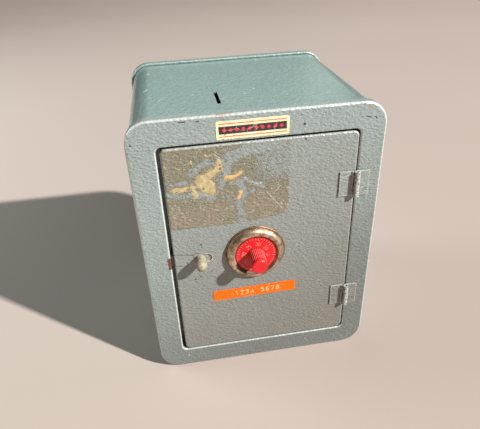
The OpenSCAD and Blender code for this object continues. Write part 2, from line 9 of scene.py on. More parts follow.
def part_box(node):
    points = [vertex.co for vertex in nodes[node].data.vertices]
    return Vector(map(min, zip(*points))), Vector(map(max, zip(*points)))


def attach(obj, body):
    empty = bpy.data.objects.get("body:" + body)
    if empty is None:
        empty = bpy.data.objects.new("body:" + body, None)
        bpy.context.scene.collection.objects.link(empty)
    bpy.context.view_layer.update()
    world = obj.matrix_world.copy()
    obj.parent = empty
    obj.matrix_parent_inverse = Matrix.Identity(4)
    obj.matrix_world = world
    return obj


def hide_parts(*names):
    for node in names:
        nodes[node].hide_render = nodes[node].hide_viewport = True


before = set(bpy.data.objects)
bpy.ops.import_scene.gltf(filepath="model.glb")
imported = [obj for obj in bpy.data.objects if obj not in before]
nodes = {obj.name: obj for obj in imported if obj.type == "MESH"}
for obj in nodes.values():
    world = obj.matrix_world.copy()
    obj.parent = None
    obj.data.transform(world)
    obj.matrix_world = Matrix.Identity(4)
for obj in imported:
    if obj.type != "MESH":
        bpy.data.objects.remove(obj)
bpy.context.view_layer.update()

# Keeps the paste's outline the same in each run
noise.seed_set(9)

# Lengths are in metres. MM turns millimetres into them.
MM = 0.001

# Where things are, read from the frame
PLATE_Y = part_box("paper_label")[1].y
DOOR_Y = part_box("door_panel")[0].y
CASE_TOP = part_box("cabinet_wrap")[1].z
BOLT_KNOB_LOW, BOLT_KNOB_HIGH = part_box("bolt_knob")
BOLT_X = (BOLT_KNOB_LOW.x + BOLT_KNOB_HIGH.x) / 2
BOLT_Z = (BOLT_KNOB_LOW.z + BOLT_KNOB_HIGH.z) / 2
DIAL_LOW, DIAL_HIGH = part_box("combination_dial")
DIAL_X = (DIAL_LOW.x + DIAL_HIGH.x) / 2
DIAL_Z = (DIAL_LOW.z + DIAL_HIGH.z) / 2
DIAL_R = (DIAL_HIGH.x - DIAL_LOW.x) / 2
# The finger knob stands this far out of the dial's disc
KNOB_STANDS = 15.6 * MM
DIAL_FACE_Y = DIAL_LOW.y + KNOB_STANDS
# The bolt is greasy from its nose to here
GREASED_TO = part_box("sliding_bolt")[0].x + 8 * MM


# Wiring of shader nodes

def srgb(red, green, blue):
    """A colour given as 0 to 255 on a screen, as the linear colour that shaders use."""
    def linear(level):
        share = level / 255
        return share / 12.92 if share <= 0.04045 else ((share + 0.055) / 1.055) ** 2.4
    return (linear(red), linear(green), linear(blue), 1.0)


def shaded(color, share):
    """The colour made lighter or darker by a factor."""
    return [min(1.0, level * share) for level in color[:3]] + [1.0]


class Wiring:
    """Adds nodes to one node tree and joins them up."""

    def __init__(self, tree):
        self.tree = tree

    def feed(self, socket, value):
        if isinstance(value, bpy.types.NodeSocket):
            self.tree.links.new(value, socket)
        elif value is not None:
            socket.default_value = value

    def add(self, kind, inputs=None, **settings):
        node = self.tree.nodes.new(kind)
        for name, value in settings.items():
            setattr(node, name, value)
        for name, value in (inputs or {}).items():
            self.feed(node.inputs[name], value)
        return node

    def math(self, operation, *values, clamp=False):
        inputs = dict(enumerate(values))
        return self.add("ShaderNodeMath", inputs, operation=operation, use_clamp=clamp).outputs[0]

    def plus(self, first, second):
        return self.math("ADD", first, second)

    def minus(self, first, second):
        return self.math("SUBTRACT", first, second)

    def times(self, first, second):
        return self.math("MULTIPLY", first, second)

    def size_of(self, value):
        """The value without its sign."""
        return self.math("ABSOLUTE", value)

    def both(self, *masks):
        """Where all the masks are."""
        return reduce(self.times, masks)

    def most(self, *masks):
        """Where any of the masks is."""
        return reduce(lambda first, second: self.math("MAXIMUM", first, second), masks)

    def vector(self, operation, *values, out="Vector"):
        inputs = dict(enumerate(values))
        return self.add("ShaderNodeVectorMath", inputs, operation=operation).outputs[out]

    def scaled(self, place, share):
        node = self.add("ShaderNodeVectorMath", {0: place, "Scale": share}, operation="SCALE")
        return node.outputs[0]

    def place(self):
        """The point on the object, in the frame's metres. It stays with a moving piece."""
        return self.add("ShaderNodeTexCoord").outputs["Object"]

    def parts(self, place):
        return self.add("ShaderNodeSeparateXYZ", {0: place}).outputs

    def off_axis(self, axis_x, axis_z):
        """How far the point is from a line that runs from front to back."""
        x, _, z = self.parts(self.place())
        across = self.minus(x, axis_x)
        up = self.minus(z, axis_z)
        return self.math("SQRT", self.plus(self.times(across, across), self.times(up, up)))

    def mix(self, share, first, second, blend="MIX"):
        inputs = {0: share, 6: first, 7: second}
        return self.add("ShaderNodeMix", inputs, data_type="RGBA", blend_type=blend).outputs[2]

    def level(self, share, first, second):
        """A number between first and second."""
        inputs = {0: share, 2: first, 3: second}
        return self.add("ShaderNodeMix", inputs, data_type="FLOAT").outputs[0]

    def step(self, value, low, high):
        """0 below low, 1 above high, eased between. Low may be the larger one."""
        inputs = {"Value": value, "From Min": low, "From Max": high}
        node = self.add("ShaderNodeMapRange", inputs, interpolation_type="SMOOTHSTEP")
        return node.outputs["Result"]

    def edge(self, value, at, soft):
        """0 below at and 1 above it, eased over soft to each side. A negative soft turns it round."""
        return self.step(value, at - soft, at + soft)

    def noise(self, place, grain, detail=2.0, rough=0.5, out="Fac"):
        """Smooth noise whose features are about grain metres across."""
        inputs = {"Vector": place, "Detail": detail, "Roughness": rough}
        inputs["Scale"] = self.math("DIVIDE", 1.0, grain)
        return self.add("ShaderNodeTexNoise", inputs).outputs[out]

    def cells(self, place, size, feature="F1"):
        """Cells of about that size in metres. Gives the node, for its Distance and Color."""
        inputs = {"Vector": place, "Scale": self.math("DIVIDE", 1.0, size)}
        return self.add("ShaderNodeTexVoronoi", inputs, feature=feature)

    def bent(self, place, grain, reach, detail=2.0):
        """The place moved about by noise, by up to about reach."""
        bend = self.noise(place, grain, detail, out="Color")
        bend = self.vector("SUBTRACT", bend, (0.5, 0.5, 0.5))
        return self.vector("ADD", place, self.scaled(bend, reach))

    def shifted(self, place, shift):
        offset = self.add("ShaderNodeCombineXYZ", {0: shift, 1: shift, 2: shift}).outputs[0]
        return self.vector("ADD", place, offset)

    def use(self, group, **inputs):
        """A shared group. A name's underscores stand for spaces."""
        node = self.add("ShaderNodeGroup", node_tree=group)
        for name, value in inputs.items():
            self.feed(node.inputs[name.replace("_", " ")], value)
        return node.outputs


# Effects that several finishes share. Each is one node group.

# The enamel's dimples are wider than they are high
SKIN_STRETCH = (1.0, 1.0, 1.5)


def new_group(name, outputs, **inputs):
    """An empty group with its sockets, as (wiring, what comes in, what goes out)."""
    tree = bpy.data.node_groups.new(name, "ShaderNodeTree")
    for label, value in inputs.items():
        label = label.replace("_", " ")
        kind = "NodeSocketVector" if isinstance(value, tuple) else "NodeSocketFloat"
        tree.interface.new_socket(label, in_out="INPUT", socket_type=kind).default_value = value
    for label in outputs:
        tree.interface.new_socket(label, in_out="OUTPUT", socket_type="NodeSocketFloat")
    start = tree.nodes.new("NodeGroupInput")
    end = tree.nodes.new("NodeGroupOutput")
    return Wiring(tree), start.outputs, end.inputs


def hammered_skin_group():
    """The dimples and flakes of hammered enamel."""
    outputs = ["Height", "Fleck", "Cloud"]
    w, given, out = new_group("hammered skin", outputs, Cell_Size=2.2 * MM)
    place = w.place()
    size = given["Cell Size"]
    squat = w.vector("MULTIPLY", place, SKIN_STRETCH)
    bent = w.bent(squat, w.times(size, 2.0), size, 1.0)
    dimples = w.cells(bent, size, "SMOOTH_F1").outputs["Distance"]
    swell = w.noise(bent, w.times(size, 1.6), 2.0)
    w.feed(out["Height"], w.level(0.5, dimples, swell))
    grains = w.noise(bent, w.times(size, 0.6), 3.0, 0.7)
    w.feed(out["Fleck"], w.step(grains, 0.32, 0.7))
    w.feed(out["Cloud"], w.noise(place, w.times(size, 16.0), 3.0, 0.6))
    return w.tree


def rubbed_and_glint_edge_group():
    """Bright where an outside edge is worn by rubbing, partly a painted highlight, and a painted
    highlight along a sheet's rounded bends.
    """
    inputs = {"Reach": 0.8 * MM, "Patch_Size": 6 * MM, "Share": 0.5}
    w, given, out = new_group("rubbed edge", ["Mask", "Bend"], **inputs)
    softened = w.add("ShaderNodeBevel", {"Radius": given["Reach"]}, samples=6).outputs[0]
    true_normal = w.add("ShaderNodeNewGeometry").outputs["Normal"]
    agreement = w.vector("DOT_PRODUCT", softened, true_normal, out="Value")
    edge = w.step(w.minus(1.0, agreement), 0.015, 0.16)
    patches = w.noise(w.place(), given["Patch Size"], 4.0, 0.7)
    limit = w.minus(0.78, w.times(given["Share"], 0.6))
    w.feed(out["Mask"], w.both(edge, w.step(patches, limit, w.plus(limit, 0.12))))
    facing = w.size_of(w.parts(w.add("ShaderNodeTexCoord").outputs["Normal"])[1])
    # The rounded bends, where a painted highlight is laid
    w.feed(out["Bend"], w.both(w.step(facing, 0.2, 0.5), w.step(facing, 0.985, 0.9)))
    return w.tree


def hairlines_group():
    """Fine scratches, in short stretches that run all ways."""
    inputs = {"Spacing": 14 * MM, "Width": 0.12 * MM, "Share": 0.3, "Shift": 0.0, "Curl": 1.1}
    w, given, out = new_group("hairlines", ["Mask"], **inputs)
    place = w.shifted(w.place(), given["Shift"])
    spacing = given["Spacing"]
    bent = w.bent(place, w.times(spacing, 0.8), w.times(spacing, given["Curl"]))
    edges = w.cells(bent, spacing, "DISTANCE_TO_EDGE")
    width = w.math("DIVIDE", given["Width"], spacing)
    line = w.step(edges.outputs["Distance"], w.times(width, 1.6), w.times(width, 0.4))
    where = w.noise(w.shifted(place, 0.17), w.times(spacing, 0.9), 2.0)
    limit = w.minus(0.75, w.times(given["Share"], 0.5))
    w.feed(out["Mask"], w.both(line, w.step(where, limit, w.plus(limit, 0.08))))
    return w.tree


def specks_group():
    """Scattered small spots with ragged rims."""
    inputs = {"Spacing": 9 * MM, "Spot": 0.12, "Share": 0.4, "Shift": 0.0}
    w, given, out = new_group("specks", ["Mask"], **inputs)
    place = w.shifted(w.place(), given["Shift"])
    spacing = given["Spacing"]
    spots = w.cells(w.bent(place, w.times(spacing, 0.14), w.times(spacing, 0.22)), spacing)
    lot = w.add("ShaderNodeSeparateColor", {0: spots.outputs["Color"]}).outputs
    chosen = w.math("LESS_THAN", lot[0], given["Share"])
    reach = w.times(given["Spot"], w.plus(0.35, w.math("POWER", lot[1], 3.0)))
    inside = w.step(spots.outputs["Distance"], reach, w.times(reach, 0.7))
    w.feed(out["Mask"], w.both(chosen, inside))
    return w.tree


def corner_shade_and_dirt_group():
    """Darkening in corners and round raised things, found by ambient occlusion: partly dirt, partly
    painted shade.
    """
    inputs = {"Reach": 3 * MM, "Patch_Size": 5 * MM, "Amount": 1.0}
    w, given, out = new_group("corner_shade_and_dirt", ["Mask"], **inputs)
    occlusion = w.add("ShaderNodeAmbientOcclusion", {"Distance": given["Reach"]}, samples=6)
    corner = w.step(occlusion.outputs["AO"], 0.9, 0.35)
    patches = w.noise(w.place(), given["Patch Size"], 3.0, 0.65)
    uneven = w.level(w.step(patches, 0.3, 0.65), 0.35, 1.0)
    w.feed(out["Mask"], w.both(corner, uneven, given["Amount"]))
    return w.tree


def smear_group():
    """A soft-edged stroke between two points."""
    places = {"Place": (0, 0, 0), "Start": (0, 0, 0), "End": (0, 0, 1)}
    w, given, out = new_group("smear", ["Mask"], **places, Radius=2 * MM, Softness=0.6 * MM)
    along = w.vector("SUBTRACT", given["End"], given["Start"])
    reach = w.vector("SUBTRACT", given["Place"], given["Start"])
    covered = w.vector("DOT_PRODUCT", reach, along, out="Value")
    whole = w.most(w.vector("DOT_PRODUCT", along, along, out="Value"), 1e-9)
    share = w.math("DIVIDE", covered, whole, clamp=True)
    aside = w.vector("SUBTRACT", reach, w.scaled(along, share))
    far = w.vector("LENGTH", aside, out="Value")
    inner = w.minus(given["Radius"], given["Softness"])
    w.feed(out["Mask"], w.step(far, w.plus(given["Radius"], given["Softness"]), inner))
    return w.tree


def patina_group():
    """Uneven tarnish of plated or bare metal."""
    w, given, out = new_group("patina", ["Tarnish", "Pits"], Grain=4 * MM, Shift=0.0)
    place = w.shifted(w.place(), given["Shift"])
    broad = w.noise(place, given["Grain"], 4.0, 0.65)
    w.feed(out["Tarnish"], w.step(broad, 0.36, 0.66))
    fine = w.noise(place, w.times(given["Grain"], 0.16), 3.0, 0.7)
    w.feed(out["Pits"], w.step(fine, 0.56, 0.7))
    return w.tree


HAMMERED = hammered_skin_group()
RUBBED_AND_GLINT = rubbed_and_glint_edge_group()
HAIRLINES = hairlines_group()
SPECKS = specks_group()
CORNER_SHADE_AND_DIRT = corner_shade_and_dirt_group()
SMEAR = smear_group()
PATINA = patina_group()


# Colours of the finishes

PAINT = srgb(150, 162, 158)
# Darker paint low down: a painted reflection of the darker ground
LOW_SHADE_PAINT = srgb(114, 119, 115)
DOOR_PAINT = srgb(147, 154, 150)
# Darker door paint low down: a painted reflection of the darker ground
LOW_SHADE_DOOR_PAINT = srgb(126, 125, 117)
HINGE_PAINT = srgb(154, 162, 157)
# Greener than the front: partly the wrap's own colour, partly a painted reflection of sky and trees on
# the top
SKY_TINTED_WRAP_PAINT = srgb(136, 158, 152)
GREASE = srgb(34, 30, 27)
PRIMER = srgb(86, 80, 70)
BARE_STEEL = srgb(206, 204, 196)
BRIGHT_STEEL = srgb(246, 245, 238)
# Dark brown of dirt, also laid in corners and gaps as painted shade
DIRT_AND_SHADE = srgb(80, 71, 61)
RUST = srgb(106, 64, 42)
DARK_RUST = srgb(76, 45, 30)
TAN = srgb(150, 137, 106)
RIM_BROWN = srgb(140, 118, 92)
# Pale scratches, also laid as a painted highlight on bends and hinge barrels
SCRATCH_AND_SHEEN = srgb(222, 224, 216)
SPECK = srgb(206, 207, 199)
PASTE = srgb(200, 182, 138)
DARK_PASTE = srgb(160, 143, 102)
ORANGE_PASTE = srgb(226, 170, 106)
PASTE_PIT = srgb(84, 42, 28)
FILM = srgb(139, 132, 108)
DARK_FILM = srgb(100, 91, 70)
WARM_FILM = srgb(144, 126, 104)
PALE_FILM = srgb(184, 182, 164)
FILM_SCRATCH = srgb(206, 200, 180)
RED = srgb(212, 26, 32)
# Light pink laid on the knob's flute ridges as a painted highlight
FLUTE_GLINT_RED = srgb(240, 126, 122)
ORANGE = srgb(246, 104, 0)
CREAM = srgb(162, 152, 131)
PLASTIC_SCRATCH = srgb(240, 226, 214)
NUMBER_CREAM = srgb(228, 170, 148)
TICK_CREAM = srgb(244, 196, 176)
LETTER_WHITE = srgb(234, 208, 170)
BOLT_STEEL = srgb(186, 182, 174)
DULL_BOLT_STEEL = srgb(124, 118, 110)
ZINC = srgb(206, 206, 202)
DULL_ZINC = srgb(166, 164, 158)
BRASS = srgb(222, 190, 116)
DULL_BRASS = srgb(150, 118, 62)
PLATING = srgb(232, 216, 190)
DULL_PLATING = srgb(164, 132, 102)
COPPERY_PLATING = srgb(164, 116, 92)
PLATING_BLOTCH = srgb(84, 66, 50)
# Painted shade on the ring's inner slope and low inside, and dirt with painted shade in its grooves
PLATING_SLOPE_SHADE = srgb(108, 80, 58)
PLATING_LOW_SHADE = srgb(80, 56, 42)
PLATING_DIRT_AND_SHADE = srgb(72, 54, 40)
PAPER = srgb(244, 232, 194)
YELLOWED_PAPER = srgb(226, 208, 162)
RUBBED_PAPER = srgb(240, 230, 200)
PAPER_DIRT_AND_SHADE = srgb(120, 104, 76)
PRINT_BLACK = srgb(44, 40, 42)
PRINT_RED = srgb(214, 44, 70)
FLOOR = srgb(172, 156, 147)
PALE_FLOOR = srgb(177, 161, 152)


# Finishes

# The gentle waves of thin sheet: their length, and their rise in units of the skin's relief
SHEET_WAVE = 55 * MM
SHEET_WAVE_RISE = 1.1
# The dark and light flakes, as shares of the enamel's colour, and how metallic it is
DARK_FLAKE, LIGHT_FLAKE = 0.79, 1.17
ENAMEL_METAL = 0.12
# How high the darker paint low down reaches, and how much it gains toward the right: a painted
# reflection of the darker ground
LOW_SHADE_REACH = 200 * MM
LOW_SHADE_TILT = 0.5
# How deep behind a face the corner darkening, dirt with painted shade, thins out, and the share of it
# that is left there
GAP_CLEAN = 0.8 * MM
GAP_SHADE_AND_DIRT = 0.25


class Finish(Wiring):
    """A material with a Principled shader and nothing else yet, and the wiring of its nodes."""

    def __init__(self, name, **constants):
        self.material = bpy.data.materials.new(name)
        self.material.use_nodes = True
        super().__init__(self.material.node_tree)
        self.tree.nodes.clear()
        shader = self.add("ShaderNodeBsdfPrincipled")
        self.shader = shader.inputs
        for label, value in constants.items():
            self.shader[label.replace("_", " ")].default_value = value
        self.add("ShaderNodeOutputMaterial", {"Surface": shader.outputs[0]})

    def lay(self, color, rough, height=None, depth=0.0, **others):
        """Joins all to the shader, with relief of up to depth metres, and gives the material."""
        self.feed(self.shader["Base Color"], color)
        self.feed(self.shader["Roughness"], rough)
        for label, value in others.items():
            self.feed(self.shader[label.replace("_", " ")], value)
        if depth:
            bump = self.add("ShaderNodeBump", {"Height": height, "Distance": depth})
            self.feed(self.shader["Normal"], bump.outputs[0])
        return self.material

    def flat(self, grain, rag, detail=3.0, rough=0.6, top=False):
        """The place on the face or the top, bent by noise so that outlines on it are ragged."""
        x, y, z = self.parts(self.place())
        kept = {0: x, 1: y} if top else {0: x, 2: z}
        keep = (1.0, 1.0, 0.0) if top else (1.0, 0.0, 1.0)
        flat = self.add("ShaderNodeCombineXYZ", kept).outputs[0]
        bend = self.noise(flat, grain, detail, rough, out="Color")
        bend = self.vector("MULTIPLY", self.vector("SUBTRACT", bend, (0.5, 0.5, 0.5)), keep)
        return self.vector("ADD", flat, self.scaled(bend, rag * 2))

    def strokes(self, place, rows, softness=0.25, top=False):
        """Smears on the face or the top. Each row is (start, end, radius), in millimetres."""
        covered = 0.0
        for *ends, radius in rows:
            ends = [(a * MM, b * MM, 0.0) if top else (a * MM, 0.0, b * MM) for a, b in ends]
            size = {"Radius": radius * MM, "Softness": softness * MM}
            smear = self.use(SMEAR, Place=place, Start=ends[0], End=ends[1], **size)
            covered = self.most(covered, smear["Mask"])
        return covered


class Enamel(Finish):
    """Hammered enamel. Low down, and more toward the right, it takes the darker tint given, a painted
    reflection of the darker ground. Wear and spots are added before it is done.
    """

    def __init__(self, name, coat_rough, tint, cell=1.9 * MM, low_tint=None):
        super().__init__(name, Coat_Roughness=coat_rough)
        skin = self.use(HAMMERED, Cell_Size=cell)
        if low_tint:
            # Painted reflection of the darker ground: darker paint low down and toward the right
            across, _, up = self.parts(self.bent(self.place(), 40 * MM, 50 * MM))
            up = self.minus(up, self.both(across, LOW_SHADE_TILT))
            tint = self.mix(self.step(up, 0.0, LOW_SHADE_REACH), low_tint, tint)
        dark = self.mix(1.0, tint, [DARK_FLAKE] * 3 + [1.0], "MULTIPLY")
        light = self.mix(1.0, tint, [LIGHT_FLAKE] * 3 + [1.0], "MULTIPLY")
        color = self.mix(skin["Fleck"], dark, light)
        clouds = self.both(self.step(skin["Cloud"], 0.35, 0.7), 0.35)
        self.color = self.mix(clouds, color, tint)
        self.rough = self.level(skin["Fleck"], 0.42, 0.3)
        wave = self.noise(self.place(), SHEET_WAVE, 1.0)
        self.height = self.plus(skin["Height"], self.both(wave, SHEET_WAVE_RISE))
        self.dull = 0.0

    def raised(self, mask, rise):
        self.height = self.plus(self.height, self.both(mask, rise))

    def spot(self, mask, tint, rough=0.7, rise=0.0):
        """Lays a dull coloured spot over the enamel."""
        self.color = self.mix(mask, self.color, tint)
        self.rough = self.level(mask, self.rough, rough)
        self.dull = self.most(self.dull, mask)
        if rise:
            self.raised(mask, rise)

    def tinted(self, mask, tint, share=1.0):
        """Colours the enamel where the mask is, and leaves its gloss."""
        self.color = self.mix(self.both(mask, share), self.color, tint)

    def wear(self, edges, lines=0.25, spots=0.25, shift=0.0, bare=BARE_STEEL, bend=0.22, face_y=None):
        """Dirty corners darkened further with painted shade, scratches, chips, and edges worn bright
        with a painted highlight, also along the bends. Behind face_y the corners are darkened less.
        """
        # Corner darkening found by occlusion: dirt with painted shade in corners and gaps
        dirt_and_shade = self.use(CORNER_SHADE_AND_DIRT, Reach=2.4 * MM, Amount=0.7)["Mask"]
        if face_y is not None:
            front = self.step(self.parts(self.place())[1], face_y + GAP_CLEAN, face_y)
            dirt_and_shade = self.both(dirt_and_shade, self.level(front, GAP_SHADE_AND_DIRT, 1.0))
        self.spot(dirt_and_shade, DIRT_AND_SHADE, 0.8)
        fine = {"Spacing": 17 * MM, "Width": 0.14 * MM, "Curl": 0.45}
        self.tinted(self.use(HAIRLINES, Share=lines, Shift=shift, **fine)["Mask"], SCRATCH_AND_SHEEN, 0.35)
        self.tinted(self.use(SPECKS, Spacing=13 * MM, Spot=0.055, Share=spots)["Mask"], SPECK)
        chips = self.use(SPECKS, Spacing=19 * MM, Spot=0.05, Share=spots * 0.7, Shift=0.37)
        self.spot(chips["Mask"], PRIMER, 0.65, -1.2)
        rubbed_and_glint = self.use(RUBBED_AND_GLINT, Reach=0.9 * MM, Share=edges)
        # Painted highlight along the rounded bends; bend sets its share
        self.tinted(rubbed_and_glint["Bend"], SCRATCH_AND_SHEEN, bend)
        # Edges worn bright, partly a painted highlight
        self.tinted(rubbed_and_glint["Mask"], bare, 0.7)

    def done(self, coat=0.35):
        """The material. Dull spots are neither metallic nor coated."""
        metallic = self.level(self.dull, ENAMEL_METAL, 0.0)
        coated = self.level(self.dull, coat, 0.0)
        gloss = {"Metallic": metallic, "Coat_Weight": coated}
        return self.lay(self.color, self.rough, self.height, 0.8 * MM, **gloss)


def dots(*spots):
    """Round marks, given as (x, z, radius), as strokes that end where they start."""
    return [((x, z), (x, z), radius) for x, z, radius in spots]


# Marks on the frame and the top, as (start, end, radius) in millimetres
FRAME_CHIPS = dots((-83.5, 204.7, 0.6)) + [
    ((-51.6, 217.3), (-48.2, 217.1), 0.35),
    ((-40.9, 216.9), (-39.4, 216.9), 0.35),
    ((72.0, 209.6), (75.0, 208.6), 0.3),
    ((78.4, 208.9), (79.2, 207.6), 0.35),
]
FRAME_TAN = [((73.4, 216.5), (75.0, 216.0), 0.9)]
JAMB_RUST = [((-69.3, 104.8), (-69.5, 113.0), 1.3)]
RIM_STAIN = [((-27.0, -65.6), (-18.0, -64.6), 1.1)]
TOP_SPECKS = [
    ((-70.6, 50.9), (-70.4, 51.4), 0.9),
    ((-74.0, 3.8), (-71.6, 6.3), 1.0),
    ((-39.1, -15.2), (-39.0, -14.8), 0.8),
    ((-25.8, -13.4), (-25.8, -13.2), 0.5),
    ((6.4, -12.5), (6.5, -12.2), 0.8),
    ((-2.4, -22.3), (-1.6, -21.8), 0.4),
    ((-58.9, 69.5), (-58.7, 69.8), 0.6),
]
TOP_SCUFF = [
    ((-63.8, -26.2), (-62.6, -19.7), 0.25),
    ((-62.6, -19.7), (-60.0, -16.4), 0.25),
    ((-60.0, -16.4), (-53.5, -15.6), 0.2),
]


def frame_enamel():
    w = Enamel("frame enamel", 0.16, PAINT, low_tint=LOW_SHADE_PAINT)
    # A stronger painted highlight along the frame's bends
    w.wear(0.8, bend=0.5, face_y=PLATE_Y)
    face = w.flat(1.2 * MM, 0.5 * MM)
    w.spot(w.strokes(face, FRAME_CHIPS), PRIMER, 0.7, -1.5)
    w.spot(w.strokes(face, FRAME_TAN, 0.5), TAN)
    rust = w.strokes(w.flat(1.8 * MM, 1.3 * MM), JAMB_RUST, 0.4)
    eaten = w.step(w.noise(face, 1.6 * MM, 5.0, 0.75), 0.35, 0.6)
    w.spot(rust, w.mix(eaten, DARK_RUST, RUST), 0.85)
    stain = w.strokes(w.flat(1.5 * MM, 0.8 * MM, top=True), RIM_STAIN, 0.8, top=True)
    upper = w.step(w.parts(w.place())[2], CASE_TOP - 1 * MM, CASE_TOP + 0.5 * MM)
    w.spot(w.both(stain, upper, 0.7), RIM_BROWN)
    return w.done()


def wrap_enamel():
    w = Enamel("wrap enamel", 0.18, SKY_TINTED_WRAP_PAINT, 2.6 * MM)
    w.wear(0.2, lines=0.3, spots=0.35)
    top = w.flat(0.9 * MM, 0.5 * MM, top=True)
    specks = w.strokes(top, TOP_SPECKS, top=True)
    scuff = w.both(w.strokes(top, TOP_SCUFF, top=True), 0.5)
    upper = w.step(w.parts(w.place())[2], CASE_TOP - 12 * MM, CASE_TOP - 9 * MM)
    w.tinted(w.both(w.most(specks, scuff), upper), SPECK)
    return w.done(0.8)


def back_enamel():
    w = Enamel("back enamel", 0.16, SKY_TINTED_WRAP_PAINT)
    w.wear(0.5, lines=0.35, spots=0.35)
    return w.done()


# Where the leaves were spot welded: a ring in the paint, from the frame leaf's lowest corner
WELD_OFFSET = (9.0 * MM, 4.6 * MM)
WELD_RING = 0.9 * MM
# How far from the pin's axis the barrel's paint has cracked, and how far the barrel is lightened as a
# painted highlight
BARREL_REACH = 2.4 * MM


def hinge_enamel():
    w = Enamel("hinge enamel", 0.2, HINGE_PAINT, 1.8 * MM, LOW_SHADE_DOOR_PAINT)
    w.wear(1.2, lines=0.5, bare=BRIGHT_STEEL)
    place = w.place()
    pin_low, pin_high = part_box("upper_hinge_pin")
    off_pin = w.size_of(w.minus(w.parts(place)[0], (pin_low.x + pin_high.x) / 2))
    barrel = w.step(off_pin, BARREL_REACH, BARREL_REACH - 0.6 * MM)
    # Painted highlight: the barrel lightened
    w.tinted(barrel, SCRATCH_AND_SHEEN, 0.4)
    cracks = w.noise(w.vector("MULTIPLY", place, (0.25, 0.25, 1.0)), 0.5 * MM, 3.0, 0.7)
    w.spot(w.both(barrel, w.step(cracks, 0.54, 0.6), 0.75), PRIMER, 0.7, -0.8)
    for leaf in ("upper_hinge_frame_leaf", "lower_hinge_frame_leaf"):
        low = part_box(leaf)[0]
        off_weld = w.off_axis(low.x + WELD_OFFSET[0], low.z + WELD_OFFSET[1])
        ring = w.step(w.size_of(w.minus(off_weld, WELD_RING)), 0.3 * MM, 0.1 * MM)
        w.raised(ring, -1.4)
        w.tinted(ring, DIRT_AND_SHADE, 0.35)
    return w.done()


# The dull film that an old sheet of paper left on the door
FILM_LEFT, FILM_RIGHT, FILM_BOTTOM, FILM_TOP = -65.2 * MM, 20.4 * MM, 138.2 * MM, 198.9 * MM
# How far it has worn back at its lower right corner, growing downward and to the right
FILM_CORNER = 3.5 * MM
CORNER_DOWN = (154 * MM, 138 * MM)
CORNER_RIGHT = (-12 * MM, 18 * MM)
# It thins out toward the upper right, and turns browner downward
THIN_RIGHT = (-20 * MM, 8 * MM)
THIN_UP = (156 * MM, 180 * MM)
WARM_DOWN = (172 * MM, 146 * MM)
# How much less of the film is left along the bare strokes, as a share of its noise
BARE_LOSS = 0.25
FILM_BARE = [
    ((-13.0, 136.5), (-14.4, 146.0), 3.9),
    ((-15.0, 147.0), (-15.5, 157.5), 3.2),
    ((-15.0, 158.5), (-5.2, 163.6), 1.5),
    ((-16.0, 158.0), (-22.4, 157.6), 1.8),
    ((-12.0, 160.0), (-14.2, 172.0), 2.9),
    ((-13.0, 174.5), (1.5, 166.0), 1.4),
    ((-27.0, 186.5), (-9.0, 195.0), 4.8),
    ((-9.0, 193.5), (8.0, 197.0), 3.0),
    ((-27.2, 170.0), (-21.5, 185.5), 3.2),
    ((-46.5, 181.0), (-34.5, 188.5), 3.4),
    ((-48.0, 165.2), (-33.0, 161.2), 3.4),
    ((-62.5, 173.4), (-50.5, 174.6), 1.9),
    ((-63.8, 166.4), (-52.0, 164.4), 2.3),
]
FILM_SCRATCHES = [
    ((-11.0, 174.4), (-2.0, 167.4), 0.28),
    ((4.0, 161.2), (15.5, 146.2), 0.24),
    ((9.0, 159.0), (14.0, 165.0), 0.2),
    ((-31.5, 194.0), (-27.0, 190.0), 0.22),
]
# The stroke rubbed round the bolt knob's slot, in millimetres: how far it runs left and right of
# the knob, and its radius
SLOT_LEFT, SLOT_RIGHT, SLOT_RUB_R = 0.75, 5.4, 4.0
SLOT_Z = BOLT_Z / MM
SLOT_RUB = [((BOLT_X / MM - SLOT_LEFT, SLOT_Z), (BOLT_X / MM + SLOT_RIGHT, SLOT_Z), SLOT_RUB_R)]
# Lumps of dried paste left in the film
PASTE_LUMPS = [
    ((-39.2, 173.4), (-37.4, 170.6), 5.6),
    ((-36.0, 168.4), (-34.6, 165.6), 3.4),
    ((-36.0, 177.4), (-29.4, 182.6), 2.3),
    ((-27.9, 182.8), (-28.1, 187.8), 2.2),
    ((-60.4, 168.6), (-47.6, 170.6), 1.5),
    ((-46.6, 170.4), (-45.6, 163.4), 1.4),
    ((-24.4, 175.0), (-19.8, 174.6), 1.6),
    ((-18.6, 175.2), (-14.2, 177.8), 1.2),
    ((-14.0, 163.6), (-15.2, 160.4), 1.2),
    ((-15.6, 160.0), (-16.1, 158.0), 1.9),
    ((-36.8, 193.6), (-33.2, 192.8), 0.8),
    ((-45.8, 190.6), (-46.4, 186.6), 0.6),
]
# The stain round the first eight of them
PASTE_HALO = [(start, end, radius + 0.6) for start, end, radius in PASTE_LUMPS[:8]]
# Pits in the paste: how wide their stain is, and how much of that is open down to the door
PASTE_HOLES = dots((-27.6, 185.4, 0.8), (-27.4, 182.6, 0.9), (-39.8, 168.4, 0.7))
HOLE_OPEN = 0.4
DOOR_PITS = dots(
    (-45.5, 122.5, 0.7), (-48.0, 93.4, 0.7), (-52.0, 91.3, 0.6), (-38.8, 97.5, 0.5), (-56.8, 107.1, 0.6)
)
DOOR_SCORES = [
    ((-64.2, 116.4), (-51.8, 114.4), 0.2),
    ((-51.8, 114.4), (-51.0, 111.0), 0.16),
    ((-64.2, 105.5), (-60.4, 105.6), 0.22),
]


